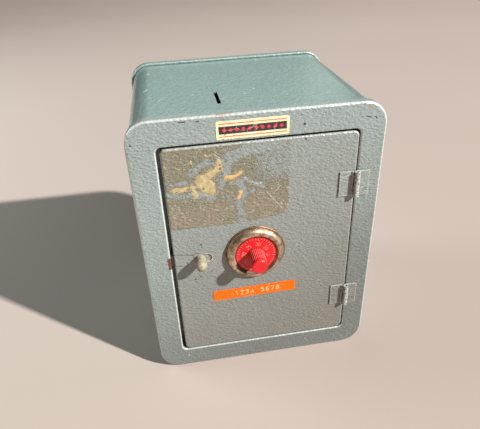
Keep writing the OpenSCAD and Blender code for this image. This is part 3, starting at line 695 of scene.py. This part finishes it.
def film_mask(w, outline, ragged):
    """Where the film still covers the door: a sheet's outline with torn, bare and thin places."""
    x, _, z = w.parts(outline)
    left = w.edge(x, FILM_LEFT, 0.3 * MM)
    worn_right = w.plus(x, w.both(w.step(z, *CORNER_DOWN), FILM_CORNER))
    right = w.edge(worn_right, FILM_RIGHT, -0.8 * MM)
    worn_low = w.plus(z, w.both(w.step(x, *CORNER_RIGHT), -FILM_CORNER))
    low = w.edge(worn_low, FILM_BOTTOM, 0.3 * MM)
    high = w.edge(z, FILM_TOP, -0.5 * MM)
    bare = w.strokes(ragged, FILM_BARE, 2.0)
    thin = w.both(w.step(x, *THIN_RIGHT), w.step(z, *THIN_UP))
    limit = w.plus(w.level(thin, 0.3, 0.475), w.both(bare, BARE_LOSS))
    fade = w.level(thin, 0.06, 0.18)
    kept = w.step(w.noise(outline, 3.2 * MM, 6.0, 0.85), limit, w.plus(limit, fade))
    return w.both(left, right, low, high, kept)


def add_film(w):
    """The film, the stain of paste in it, and the pits and scores round the bolt knob."""
    outline = w.flat(2.0 * MM, 1.0 * MM)
    ragged = w.flat(6.0 * MM, 4.0 * MM, 6.0, 0.72)
    front = w.step(w.parts(w.place())[1], DOOR_Y + 0.6 * MM, DOOR_Y + 0.2 * MM)
    film = w.both(film_mask(w, outline, ragged), front)
    streaks = w.noise(outline, 0.9 * MM, 4.0, 0.75)
    color = w.mix(w.step(streaks, 0.38, 0.6), DARK_FILM, FILM)
    low_down = w.step(w.parts(outline)[2], *WARM_DOWN)
    warm = w.both(w.step(w.noise(ragged, 14 * MM, 2.0), 0.36, 0.58), low_down)
    color = w.mix(w.both(warm, 0.5), color, WARM_FILM)
    flecks = w.use(SPECKS, Spacing=3.4 * MM, Spot=0.2, Share=0.4, Shift=0.11)["Mask"]
    color = w.mix(w.both(flecks, 0.7), color, PALE_FILM)
    fibres = w.use(HAIRLINES, Spacing=6.5 * MM, Width=0.15 * MM, Share=0.55, Shift=0.07)["Mask"]
    color = w.mix(w.both(fibres, 0.5), color, PALE_FILM)
    w.spot(w.both(film, 0.88), color, 0.6, 0.25)
    halo = w.both(w.strokes(ragged, PASTE_HALO, 1.6), front)
    halo = w.both(halo, w.step(w.noise(outline, 3 * MM, 5.0, 0.7), 0.36, 0.6))
    w.spot(w.both(halo, 0.75), w.mix(w.step(streaks, 0.3, 0.7), DARK_PASTE, PASTE))
    fine = w.flat(1.2 * MM, 0.6 * MM)
    scratched = w.both(w.strokes(fine, FILM_SCRATCHES + SLOT_RUB, 0.15), front)
    w.tinted(scratched, FILM_SCRATCH, 0.7)
    marks = w.most(w.strokes(fine, DOOR_PITS), w.strokes(fine, DOOR_SCORES, 0.15))
    marks = w.both(marks, front)
    w.raised(marks, -2.0)
    w.tinted(marks, DIRT_AND_SHADE, 0.5)


def door_enamel():
    w = Enamel("door enamel", 0.18, DOOR_PAINT, low_tint=LOW_SHADE_DOOR_PAINT)
    w.wear(0.8, lines=0.2, spots=0.22, shift=0.31, face_y=DOOR_Y)
    add_film(w)
    return w.done()


def metal(
    name, clean, tarnished, grain, rough=(0.28, 0.55), shift=0.0, metallic=1.0, greased_to=None
):
    """Bare or plated metal with patina and edges worn bright by rubbing, greasy to the left of a place.
    """
    w = Finish(name, Metallic=metallic)
    patina = w.use(PATINA, Grain=grain, Shift=shift)
    pitted = w.both(patina["Pits"], 0.4)
    color = w.mix(patina["Tarnish"], clean, tarnished)
    color = w.mix(pitted, color, shaded(tarnished, 0.6))
    rubbed_and_glint = w.use(RUBBED_AND_GLINT, Reach=0.4 * MM, Share=0.7)["Mask"]
    color = w.mix(w.both(rubbed_and_glint, 0.7), color, clean)
    if greased_to:
        greased = w.step(w.parts(w.place())[0], greased_to + 2 * MM, greased_to)
        color = w.mix(w.both(greased, 0.9), color, GREASE)
    dull = w.level(w.most(patina["Tarnish"], pitted), *rough)
    return w.lay(color, dull, w.minus(1.0, patina["Pits"]), 0.02 * MM)


# How far the darkening between the disc and its ring, dirt with painted shade in the gap, reaches past
# the disc, where the ring's inner slope ends, and where its coppery rim starts, off the dial's axis
RING_GAP = 0.8 * MM
RING_CREST = DIAL_R + 2.4 * MM
RING_RIM = 21.5 * MM
# Where the slope's darkest part, a painted shade low down, fades in: how far off the axis, and how far
# above it
RING_SHADE_OUT = (18.4 * MM, 17.6 * MM)
RING_SHADE_UP = (-6 * MM, -12 * MM)


def ring_plating():
    """Nickel plating gone brownish gold. Its grooves are dirty and darkened with painted shade, and its
    inner slope is painted darker and duller as shade, darkest low down.
    """
    w = Finish("tarnished ring plating")
    patina = w.use(PATINA, Grain=6 * MM, Shift=0.21)
    color = w.mix(patina["Tarnish"], PLATING, DULL_PLATING)
    radius = w.off_axis(DIAL_X, DIAL_Z)
    rim = w.step(radius, RING_RIM, RING_RIM + 0.5 * MM)
    color = w.mix(w.both(rim, 0.7), color, COPPERY_PLATING)
    blotches = w.step(w.noise(w.place(), 3.2 * MM, 5.0, 0.7), 0.5, 0.62)
    blotched = w.most(w.both(blotches, 0.6), w.both(patina["Pits"], 0.5))
    color = w.mix(blotched, color, PLATING_BLOTCH)
    # Painted shade in the gap between the disc and its ring
    gap_shade = w.step(radius, DIAL_R + RING_GAP, DIAL_R + RING_GAP - 0.4 * MM)
    dirt_and_shade = w.use(CORNER_SHADE_AND_DIRT, Reach=1.6 * MM, Patch_Size=3 * MM, Amount=0.85)["Mask"]
    dirt_and_shade = w.most(dirt_and_shade, w.both(gap_shade, 0.6))
    slope = w.step(radius, RING_CREST - 0.2 * MM, RING_CREST - 0.6 * MM)
    up = w.minus(w.parts(w.place())[2], DIAL_Z)
    low_inside_shade = w.both(w.step(radius, *RING_SHADE_OUT), w.step(up, *RING_SHADE_UP))
    # Painted shade: the inner slope darker, and darker still low inside
    color = w.mix(w.both(slope, 0.75), color, PLATING_SLOPE_SHADE)
    color = w.mix(w.both(low_inside_shade, 0.9), color, PLATING_LOW_SHADE)
    color = w.mix(dirt_and_shade, color, PLATING_DIRT_AND_SHADE)
    slope = w.most(slope, low_inside_shade)
    dull = w.most(dirt_and_shade, blotched, w.both(patina["Tarnish"], 0.4))
    rough = w.level(w.most(dull, slope), 0.36, 0.66)
    metallic = w.level(w.most(dirt_and_shade, slope), 1.0, 0.12)
    return w.lay(color, rough, w.minus(1.0, patina["Pits"]), 0.03 * MM, Metallic=metallic)


# The finger knob: its radius at the disc, how much that shrinks per metre, and its fluted length
KNOB_R = 6.3 * MM
KNOB_TAPER = 0.038
KNOB_FLUTED = 12.5 * MM


def flute_crest_glints(w):
    """The ridges between the finger knob's flutes, lightened there as a painted highlight."""
    height = w.minus(DIAL_FACE_Y, w.parts(w.place())[1])
    crest = w.minus(KNOB_R, w.both(height, KNOB_TAPER))
    proud = w.minus(w.off_axis(DIAL_X, DIAL_Z), crest)
    foot = w.step(height, 0.2 * MM, 0.8 * MM)
    end = w.step(height, KNOB_FLUTED, KNOB_FLUTED - 1 * MM)
    return w.both(w.step(proud, -0.3 * MM, -0.08 * MM), foot, end)


def moulded_plastic(
    name, tint, worn_tint, rough, shade_and_dirt_share, lines=0.5, rubbed_and_glint=None, mottle_size=4.5 * MM, **constants
):
    """Moulded plastic with a faint skin, hairlines, and dirty corners darkened with painted shade. An
    optional pair gives a mask and the colour of a painted highlight laid there."""
    w = Finish(name, **constants)
    place = w.place()
    mottle = w.noise(place, mottle_size, 3.0, 0.6)
    color = w.mix(w.step(mottle, 0.35, 0.7), tint, worn_tint)
    scratches = w.use(HAIRLINES, Spacing=5 * MM, Width=0.07 * MM, Share=lines)["Mask"]
    color = w.mix(w.both(scratches, 0.22), color, PLASTIC_SCRATCH)
    if rubbed_and_glint:
        find_glint, glint_tint = rubbed_and_glint
        # Painted highlight where the given mask lies
        color = w.mix(w.both(find_glint(w), 0.8), color, glint_tint)
    # Corner darkening: dirt with painted shade, a dark copy of the tint
    dirt_and_shade = w.use(CORNER_SHADE_AND_DIRT, Reach=1.0 * MM, Patch_Size=2 * MM, Amount=shade_and_dirt_share)["Mask"]
    color = w.mix(w.both(dirt_and_shade, 0.55), color, shaded(tint, 0.3))
    rough = w.level(w.most(mottle, dirt_and_shade), rough, rough + 0.22)
    return w.lay(color, rough, w.noise(place, 1.5 * MM, 2.0), 0.035 * MM)


def dried_paste():
    """Tan paste with paper fibres in it, orange to the right."""
    w = Finish("dried paste")
    ragged = w.flat(1.0 * MM, 0.4 * MM)
    shade = w.noise(ragged, 3.4 * MM, 4.0, 0.65)
    color = w.mix(w.step(shade, 0.3, 0.7), DARK_PASTE, PASTE)
    right = w.step(w.parts(ragged)[0], -28 * MM, -18 * MM)
    color = w.mix(w.both(right, 0.7), color, ORANGE_PASTE)
    color = w.mix(w.strokes(ragged, PASTE_HOLES), color, PASTE_PIT)
    grain = w.noise(ragged, 0.8 * MM, 2.0, 0.7)
    return w.lay(color, w.level(shade, 0.55, 0.85), grain, 0.015 * MM)


# The label's pattern: a dark band with lozenges between two thin lines
LABEL_BAND_REACH = 22.4 * MM
LABEL_BAND_HALF = 2.6 * MM
LABEL_LINE_UP = 4.3 * MM
LABEL_LINE_HALF = 0.28 * MM
LABEL_PITCH = 4.2 * MM
LABEL_LOZENGES = 10
# Half of a lozenge, across and up
LABEL_LOZENGE = 1.5 * MM
# How softly the print ends. It lies below its limits, so this is negative.
PRINT_EDGE = -0.06 * MM


def label_print():
    """Varnished cream paper with a plain striped pattern."""
    w = Finish("printed label", Coat_Weight=0.35, Coat_Roughness=0.25)
    low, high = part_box("paper_label")
    x, _, z = w.parts(w.place())
    aside = w.minus(x, (low.x + high.x) / 2)
    across = w.size_of(aside)
    up = w.size_of(w.minus(z, (low.z + high.z) / 2))
    inside = w.edge(across, LABEL_BAND_REACH, PRINT_EDGE)
    band = w.both(inside, w.edge(up, LABEL_BAND_HALF, PRINT_EDGE))
    off_line = w.size_of(w.minus(up, LABEL_LINE_UP))
    thin_line = w.both(inside, w.edge(off_line, LABEL_LINE_HALF, PRINT_EDGE))
    turn = w.math("FRACT", w.math("DIVIDE", aside, LABEL_PITCH))
    off_middle = w.times(w.size_of(w.minus(turn, 0.5)), LABEL_PITCH / LABEL_LOZENGE)
    reach = w.plus(off_middle, w.math("DIVIDE", up, LABEL_LOZENGE))
    row = w.edge(across, LABEL_PITCH * LABEL_LOZENGES / 2, PRINT_EDGE)
    lozenge = w.both(w.edge(reach, 1.0, -0.06), row)
    paper = w.noise(w.place(), 6 * MM, 4.0, 0.6)
    color = w.mix(w.step(paper, 0.35, 0.7), PAPER, YELLOWED_PAPER)
    color = w.mix(band, color, PRINT_BLACK)
    color = w.mix(w.most(lozenge, thin_line), color, PRINT_RED)
    # Corner darkening on the label: dirt with painted shade
    dirt_and_shade = w.use(CORNER_SHADE_AND_DIRT, Reach=1.2 * MM, Patch_Size=3 * MM, Amount=0.6)["Mask"]
    rubs = w.use(HAIRLINES, Spacing=8 * MM, Width=0.12 * MM, Share=0.6)["Mask"]
    color = w.mix(w.both(rubs, 0.35), color, RUBBED_PAPER)
    color = w.mix(dirt_and_shade, color, PAPER_DIRT_AND_SHADE)
    return w.lay(color, w.level(dirt_and_shade, 0.42, 0.8), w.noise(w.place(), 1.1 * MM), 0.03 * MM)


# Where the wear of the dial's numbers fades in, right of its middle
NUMBER_WEAR = (DIAL_X + 7.5 * MM, DIAL_X + 9.5 * MM)


def painted_mark(name, tint, worn_to=None):
    """Thick paint or stressed plastic of one colour, slightly dirty. It may be worn thin to the
    right of the dial's middle, down to the colour under it."""
    w = Finish(name)
    shade = w.noise(w.place(), 0.8 * MM, 3.0, 0.6)
    color = w.mix(w.step(shade, 0.4, 0.75), tint, shaded(tint, 0.72))
    if worn_to:
        worn = w.level(w.step(w.parts(w.place())[0], *NUMBER_WEAR), 0.15, 0.8)
        color = w.mix(w.both(worn, w.step(shade, 0.3, 0.5)), color, worn_to)
    return w.lay(color, w.level(shade, 0.4, 0.65), shade, 0.02 * MM)


def floor_paper():
    w = Finish("floor paper")
    tone = w.noise(w.place(), 0.6, 2.0)
    return w.lay(w.mix(tone, FLOOR, PALE_FLOOR), w.level(tone, 0.85, 0.95))


# Meshes made here

def on_face(x, z, y):
    """Lays a flat drawing on the face at (x, z): its right, up and toward-the-viewer directions."""
    axes = Matrix(((1, 0, 0, 0), (0, 0, -1, 0), (0, 1, 0, 0), (0, 0, 0, 1)))
    return Matrix.Translation((x, y, z)) @ axes


def new_object(name, data):
    thing = bpy.data.objects.new(name, data)
    bpy.context.scene.collection.objects.link(thing)
    return thing


def new_piece(name, mesh, body, material):
    piece = new_object(name, mesh)
    mesh.materials.append(material)
    for face in mesh.polygons:
        face.use_smooth = True
    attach(piece, body)
    return piece


def arc(middle, reach, first, last, steps=12):
    """Points along part of an ellipse, from one angle to another in degrees."""
    turns = [math.radians(first + (last - first) * i / steps) for i in range(steps + 1)]
    return [(middle[0] + reach[0] * math.cos(t), middle[1] + reach[1] * math.sin(t)) for t in turns]


# Strokes of the digits, in a box one unit high
DIGITS = {
    "0": [arc((0, 0), (0.27, 0.5), 90, 450, 20)],
    "1": [[(-0.17, 0.3), (0.04, 0.5), (0.04, -0.5)]],
    "2": [arc((0, 0.24), (0.26, 0.26), 165, -30) + [(-0.28, -0.5), (0.28, -0.5)]],
    "3": [arc((-0.02, 0.25), (0.25, 0.25), 150, -80), arc((-0.02, -0.22), (0.29, 0.28), 80, -150)],
    "4": [[(0.13, -0.5), (0.13, 0.5), (-0.3, -0.2), (0.3, -0.2)]],
    "5": [[(0.24, 0.5), (-0.2, 0.5), (-0.24, 0.08)] + arc((-0.01, -0.18), (0.28, 0.32), 130, -140)],
    "6": [arc((0.25, -0.1), (0.52, 0.6), 95, 180) + arc((0, -0.2), (0.27, 0.3), 180, 540, 18)],
    "7": [[(-0.28, 0.5), (0.28, 0.5), (-0.08, -0.5)]],
    "8": [arc((0, 0.25), (0.22, 0.25), -90, 270, 16), arc((0, -0.24), (0.27, 0.26), 90, 450, 18)],
}


def written(text, height, pitch):
    """The strokes of a row of digits, centred on the origin. A space leaves a gap."""
    rows = []
    for index, digit in enumerate(text):
        shift = (index - (len(text) - 1) / 2) * pitch
        for points in DIGITS.get(digit, []):
            rows.append([(shift + x * height, y * height) for x, y in points])
    return rows


def turned(rows, angle, shift):
    """Strokes turned about the origin, then moved."""
    c, s = math.cos(angle), math.sin(angle)

    def moved(x, y):
        return (c * x - s * y + shift[0], s * x + c * y + shift[1])

    return [[moved(*point) for point in points] for points in rows]


def curve_mesh(name, outlines, closed, lay, **settings):
    """The mesh of a curve along flat outlines, placed by lay."""
    curve = bpy.data.curves.new(name, "CURVE")
    for label, value in settings.items():
        setattr(curve, label, value)
    for points in outlines:
        spline = curve.splines.new("POLY")
        spline.points.add(len(points) - 1)
        for knot, (x, y) in zip(spline.points, points):
            knot.co = (x, y, 0.0, 1.0)
        spline.use_cyclic_u = closed
    source = new_object(name, curve)
    mesh = bpy.data.meshes.new_from_object(source)
    bpy.data.objects.remove(source)
    bpy.data.curves.remove(curve)
    mesh.transform(lay)
    return mesh


def ridges(name, rows, radius, rise, lay):
    """Rounded ridges along flat strokes."""
    shape = {"dimensions": "3D", "bevel_depth": radius, "bevel_resolution": 2, "use_fill_caps": True}
    flatten = Matrix.Diagonal((1.0, 1.0, rise / radius, 1.0))
    return curve_mesh(name, rows, False, lay @ flatten, **shape)


def thin_plate(name, outlines, thickness, edge, lay):
    """A thin plate inside flat outlines, with rounded edges. Inner outlines are holes."""
    shape = {"dimensions": "2D", "fill_mode": "BOTH", "extrude": thickness / 2 - edge}
    rounding = {"bevel_depth": edge, "bevel_resolution": 1, "offset": -edge}
    raised = Matrix.Translation((0.0, 0.0, thickness / 2))
    return curve_mesh(name, outlines, True, lay @ raised, **shape, **rounding)


def relief_slab(name, low, high, step, height_at, back_y, sunk):
    """A closed slab over a grid of the face. Its front stands height_at(x, z) off back_y, and its
    back lies sunk behind it. Grid cells with a corner of no height are left out."""
    across = round((high[0] - low[0]) / step)
    up = round((high[1] - low[1]) / step)
    xs = np.linspace(low[0], high[0], across + 1)
    zs = np.linspace(low[1], high[1], up + 1)
    heights = np.array([[height_at(x, z) for z in zs] for x in xs])
    stands = heights > 0
    solid = stands[:-1, :-1] & stands[1:, :-1] & stands[:-1, 1:] & stands[1:, 1:]
    points, faces, number = [], [], {}

    def corner(i, k, front):
        if (i, k, front) not in number:
            number[i, k, front] = len(points)
            y = back_y - heights[i, k] if front else back_y + sunk
            points.append((xs[i], y, zs[k]))
        return number[i, k, front]

    for i, k in zip(*np.nonzero(solid)):
        loop = [(i, k), (i + 1, k), (i + 1, k + 1), (i, k + 1)]
        faces.append([corner(a, b, True) for a, b in loop])
        faces.append([corner(a, b, False) for a, b in reversed(loop)])
        beside = [(i, k - 1), (i + 1, k), (i, k + 1), (i - 1, k)]
        for side, (a, b) in enumerate(beside):
            if not (0 <= a < across and 0 <= b < up and solid[a, b]):
                first, second = loop[side], loop[(side + 1) % 4]
                side_face = [(*second, True), (*first, True), (*first, False), (*second, False)]
                faces.append([corner(*place) for place in side_face])
    mesh = bpy.data.meshes.new(name)
    mesh.from_pydata(points, [], faces)
    mesh.validate()
    return mesh


# The dial's numbers and the paint in the grooves of its divisions

DIVISIONS = 40
# Every so many divisions there is a number and a longer groove
NUMBER_EVERY = 5
# The number near the top, and how many divisions past the top it is
TOP_NUMBER = 30
DIAL_SET = 1
GROOVE_OUT = DIAL_R - 0.6 * MM
GROOVE_LONG, GROOVE_SHORT = 2.6 * MM, 1.6 * MM
GROOVE_DEEP = 0.22 * MM
# The paint stops this far short of a groove's ends
PAINT_SHORT = 0.3 * MM
TICK_LINE, TICK_RISE = 0.215 * MM, 0.16 * MM
NUMBER_R = 9.3 * MM
NUMBER_H = 2.8 * MM
NUMBER_PITCH = 2.0 * MM
NUMBER_LINE, NUMBER_RISE = 0.15 * MM, 0.05 * MM


def dial_angle(division):
    return math.radians(90 - (division + DIAL_SET) * 360 / DIVISIONS)


def dial_numbers():
    """Plain numbers round the disc."""
    rows = []
    for i in range(0, DIVISIONS, NUMBER_EVERY):
        angle = dial_angle(i)
        middle = (NUMBER_R * math.cos(angle), NUMBER_R * math.sin(angle))
        number = written(str((TOP_NUMBER + i) % DIVISIONS), NUMBER_H, NUMBER_PITCH)
        rows += turned(number, angle - math.pi / 2, middle)
    lay = on_face(DIAL_X, DIAL_Z, DIAL_FACE_Y)
    mesh = ridges("dial_numbers", rows, NUMBER_LINE, NUMBER_RISE, lay)
    new_piece("dial_numbers", mesh, "dial", NUMBER_PAINT)


def dial_tick_paint():
    rows = []
    for i in range(DIVISIONS):
        angle = dial_angle(i)
        length = GROOVE_SHORT if i % NUMBER_EVERY else GROOVE_LONG
        ends = (GROOVE_OUT - PAINT_SHORT, GROOVE_OUT - length + PAINT_SHORT)
        rows.append([(r * math.cos(angle), r * math.sin(angle)) for r in ends])
    lay = on_face(DIAL_X, DIAL_Z, DIAL_FACE_Y + GROOVE_DEEP)
    mesh = ridges("dial_tick_paint", rows, TICK_LINE, TICK_RISE, lay)
    new_piece("dial_tick_paint", mesh, "dial", TICK_PAINT)


# The digits pressed into the tape, which lies slightly turned

TAPE_TURN = math.radians(1.1)
TAPE_DIGIT_H = 4.0 * MM
TAPE_DIGIT_PITCH = 4.1 * MM
TAPE_DIGIT_LINE, TAPE_DIGIT_RISE = 0.28 * MM, 0.16 * MM
# How far the row's middle is from the tape's, along it
TAPE_DIGITS_ASIDE = 2 * MM


def tape_digits():
    low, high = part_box("plastic_tape")
    middle = (low + high) / 2
    aside = (TAPE_DIGITS_ASIDE * math.cos(TAPE_TURN), TAPE_DIGITS_ASIDE * math.sin(TAPE_TURN))
    rows = turned(written("1234 5678", TAPE_DIGIT_H, TAPE_DIGIT_PITCH), TAPE_TURN, aside)
    lay = on_face(middle.x, middle.z, low.y)
    mesh = ridges("tape_digits", rows, TAPE_DIGIT_LINE, TAPE_DIGIT_RISE, lay)
    new_piece("tape_digits", mesh, "door", PRESSED_WHITE)


# The label, torn along its lower left edge

LABEL_CORNER = 1.2 * MM
LABEL_THICK = 0.2 * MM
LABEL_EDGE = 0.03 * MM
TEAR_FROM, TEAR_TO = -26.6 * MM, -12.0 * MM
TEAR_DEEP = 1.1 * MM
TEAR_POINTS = 40
# Holes torn in it, in millimetres
LABEL_HOLES = [
    [(-23.6, 205.3), (-22.9, 205.9), (-22.3, 206.6), (-22.7, 206.7), (-23.4, 206.1), (-23.9, 205.6)],
    [(-17.9, 205.1), (-17.0, 205.3), (-16.4, 205.6), (-17.1, 205.8), (-17.7, 205.5)],
]


def torn_edge(z):
    """Points along the torn stretch of the label's lower edge, from left to right."""
    points = []
    for share in np.linspace(0.0, 1.0, TEAR_POINTS):
        x = TEAR_FROM + (TEAR_TO - TEAR_FROM) * share
        broad = noise.noise((x / MM * 0.9, 3.1, 0.4))
        ragged = broad + 0.5 * noise.noise((x / MM * 2.7, 1.7, 0.4))
        bite = TEAR_DEEP * max(0.0, 0.35 + ragged) * math.sin(math.pi * share) ** 0.5
        points.append((x, z + bite))
    return points


def worn_label():
    low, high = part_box("paper_label")
    left, right = low.x + LABEL_CORNER, high.x - LABEL_CORNER
    bottom, top = low.z + LABEL_CORNER, high.z - LABEL_CORNER
    outline = []
    for turn, middle in enumerate([(right, top), (left, top), (left, bottom), (right, bottom)]):
        outline += arc(middle, (LABEL_CORNER, LABEL_CORNER), turn * 90, turn * 90 + 90, 6)
        if middle == (left, bottom):
            outline += torn_edge(low.z)
    outlines = [outline] + [[(x * MM, z * MM) for x, z in hole] for hole in LABEL_HOLES]
    mesh = thin_plate("worn_label", outlines, LABEL_THICK, LABEL_EDGE, on_face(0.0, 0.0, PLATE_Y))
    piece = new_piece("worn_label", mesh, "cabinet", label_print())
    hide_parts("paper_label")


# The dried paste on the door

PASTE_THICK = 0.16 * MM
# Its thinnest, as a share of that, and how far its back is sunk into the door
PASTE_THINNEST = 0.06
PASTE_SUNK = 0.01 * MM
PASTE_GRID = 0.25 * MM
# The grid reaches this far past the lumps, in millimetres
PASTE_MARGIN = 2.5


def away(point, start, end):
    """How far a point is from the line between two others."""
    along = (end[0] - start[0], end[1] - start[1])
    reach = (point[0] - start[0], point[1] - start[1])
    whole = max(along[0] ** 2 + along[1] ** 2, 1e-9)
    share = min(1.0, max(0.0, (along[0] * reach[0] + along[1] * reach[1]) / whole))
    return math.hypot(reach[0] - along[0] * share, reach[1] - along[1] * share)


def paste_height(x, z):
    """The paste's height at a point, both in metres: soft mounds, pierced by a few holes."""
    a, b = x / MM, z / MM
    bend = noise.noise_vector((a * 0.3, b * 0.3, 0.7))
    fine = noise.noise_vector((a * 1.3, b * 1.3, 2.3))
    spot = (a + bend.x * 1.6 + fine.x * 0.8, b + bend.y * 1.6 + fine.y * 0.8)
    inside = max(radius - away(spot, start, end) for start, end, radius in PASTE_LUMPS)
    pits = [away((a, b), start, end) / radius for start, end, radius in PASTE_HOLES]
    if inside <= 0 or min(pits) < HOLE_OPEN:
        return 0.0
    lumpy = 0.75 + 0.4 * noise.noise((a * 0.6, b * 0.6, 5.0)) + 0.08 * fine.z
    return PASTE_THICK * max(PASTE_THINNEST, min(1.0, lumpy * min(1.0, inside / 1.6)))


def paste_lumps():
    ends = [(end, radius + PASTE_MARGIN) for *both, radius in PASTE_LUMPS for end in both]
    low = [min(end[i] - reach for end, reach in ends) * MM for i in (0, 1)]
    high = [max(end[i] + reach for end, reach in ends) * MM for i in (0, 1)]
    mesh = relief_slab("paste_lumps", low, high, PASTE_GRID, paste_height, DOOR_Y, PASTE_SUNK)
    new_piece("paste_lumps", mesh, "door", dried_paste())


# Finishes of the frame's nodes

zinc = metal("dulled zinc plate", ZINC, DULL_ZINC, 7 * MM)
brass = metal("dulled brass", BRASS, DULL_BRASS, 4 * MM, (0.22, 0.5), 0.43)
bolt_steel = metal(
    "bolt steel", BOLT_STEEL, DULL_BOLT_STEEL, 3 * MM, (0.4, 0.65), 0.29, 0.35, GREASED_TO
)
red_plastic = moulded_plastic(
    "red moulding", RED, shaded(RED, 0.92), 0.34, 0.15, 0.2, (flute_crest_glints, FLUTE_GLINT_RED)
)
cream_plastic = moulded_plastic(
    "cream moulding", CREAM, shaded(CREAM, 0.6), 0.62, 1.0, mottle_size=2.6 * MM
)
orange_tape = moulded_plastic(
    "orange vinyl", ORANGE, shaded(ORANGE, 0.94), 0.5, 0.3, Specular_IOR_Level=0.2
)
NUMBER_PAINT = painted_mark("number paint", NUMBER_CREAM, RED)
TICK_PAINT = painted_mark("tick paint", TICK_CREAM)
PRESSED_WHITE = painted_mark("pressed white", LETTER_WHITE)

HINGE_LEAVES = [f"{end}_hinge_{side}_leaf" for end in ("upper", "lower") for side in ("frame", "door")]
STEEL_NODES = [
    "upper_hinge_pin", "lower_hinge_pin", "lock_posts", "lock_back_plate", "lock_screws",
    "wheel_spacers", "spring_washer", "dial_spindle", "spindle_clip", "knob_screw",
]
BRASS_NODES = ["spindle_bush", "bush_nut", "drive_cam", "front_tumbler", "rear_tumbler"]

FINISHES = [
    (frame_enamel(), ["front_frame"]),
    (wrap_enamel(), ["cabinet_wrap"]),
    (back_enamel(), ["back_panel"]),
    (door_enamel(), ["door_panel"]),
    (hinge_enamel(), HINGE_LEAVES),
    (zinc, STEEL_NODES),
    (bolt_steel, ["bolt_guides", "sliding_bolt"]),
    (brass, BRASS_NODES),
    (ring_plating(), ["dial_ring"]),
    (red_plastic, ["combination_dial"]),
    (cream_plastic, ["bolt_knob"]),
    (orange_tape, ["plastic_tape"]),
]
for finish, names in FINISHES:
    for name in names:
        for material_slot in nodes[name].material_slots:
            material_slot.material = finish

dial_numbers()
dial_tick_paint()
tape_digits()
worn_label()
paste_lumps()


# Floor, light and camera

# Half the floor's width, in metres
FLOOR_REACH = 5.0


def add_floor():
    corners = [(FLOOR_REACH * a, FLOOR_REACH * b, 0) for a, b in ((-1, -1), (1, -1), (1, 1), (-1, 1))]
    mesh = bpy.data.meshes.new("floor")
    mesh.from_pydata(corners, [], [(0, 1, 2, 3)])
    mesh.materials.append(floor_paper())
    floor = new_object("floor", mesh)


# Panel lamps that face the bank's middle: where each stands from there as a direction and a
# distance, its width and height, its power, and its colour. In metres and watts.
MIDDLE = Vector((0.0, 0.0, 0.11))
LAMPS = {
    "key": ((0.640, -0.492, 0.591), 12.0, 0.34, 0.34, 3150.0, (0.985, 0.99, 0.98)),
    "above": ((-0.2, -0.5, 0.84), 1.8, 0.5, 0.5, 0.8, (1.0, 0.78, 0.66)),
    "behind": ((0.117, 0.843, 0.525), 1.8, 1.0, 1.0, 1.2, (0.8, 1.0, 0.97)),
    "side": ((-0.87, 0.3, 0.4), 1.6, 0.8, 0.8, 17.0, (0.8, 0.98, 1.0)),
    "strip": ((0.36, 0.89, 0.32), 1.6, 0.2, 0.9, 0.18, (0.86, 1.0, 0.92)),
}


def add_lamp(name, direction, distance, width, height, power, color):
    lamp = bpy.data.lights.new(name, "AREA")
    lamp.shape = "RECTANGLE"
    lamp.size = width
    lamp.size_y = height
    lamp.energy = power
    lamp.color = color
    offset = Vector(direction) * distance
    holder = new_object(name, lamp)
    holder.location = MIDDLE + offset
    holder.rotation_euler = (-offset).to_track_quat("-Z", "Y").to_euler()


def add_world(color, strength):
    world = bpy.data.worlds.new("studio")
    world.use_nodes = True
    background = world.node_tree.nodes["Background"]
    background.inputs["Color"].default_value = color
    background.inputs["Strength"].default_value = strength
    bpy.context.scene.world = world


def add_camera():
    lens = bpy.data.cameras.new("camera")
    lens.lens = 35.181
    lens.sensor_width = 36.0
    lens.sensor_fit = "HORIZONTAL"
    camera = new_object("camera", lens)
    camera.location = (-0.05464, -0.34835, 0.32057)
    camera.rotation_euler = [math.radians(turn) for turn in (58.285, 2.16, -9.247)]
    bpy.context.scene.camera = camera


add_floor()
for name, lamp in LAMPS.items():
    add_lamp(name, *lamp)
add_world((1.0, 0.66, 0.56, 1.0), 0.04)
add_camera()
bpy.context.scene.view_settings.view_transform = "Standard"
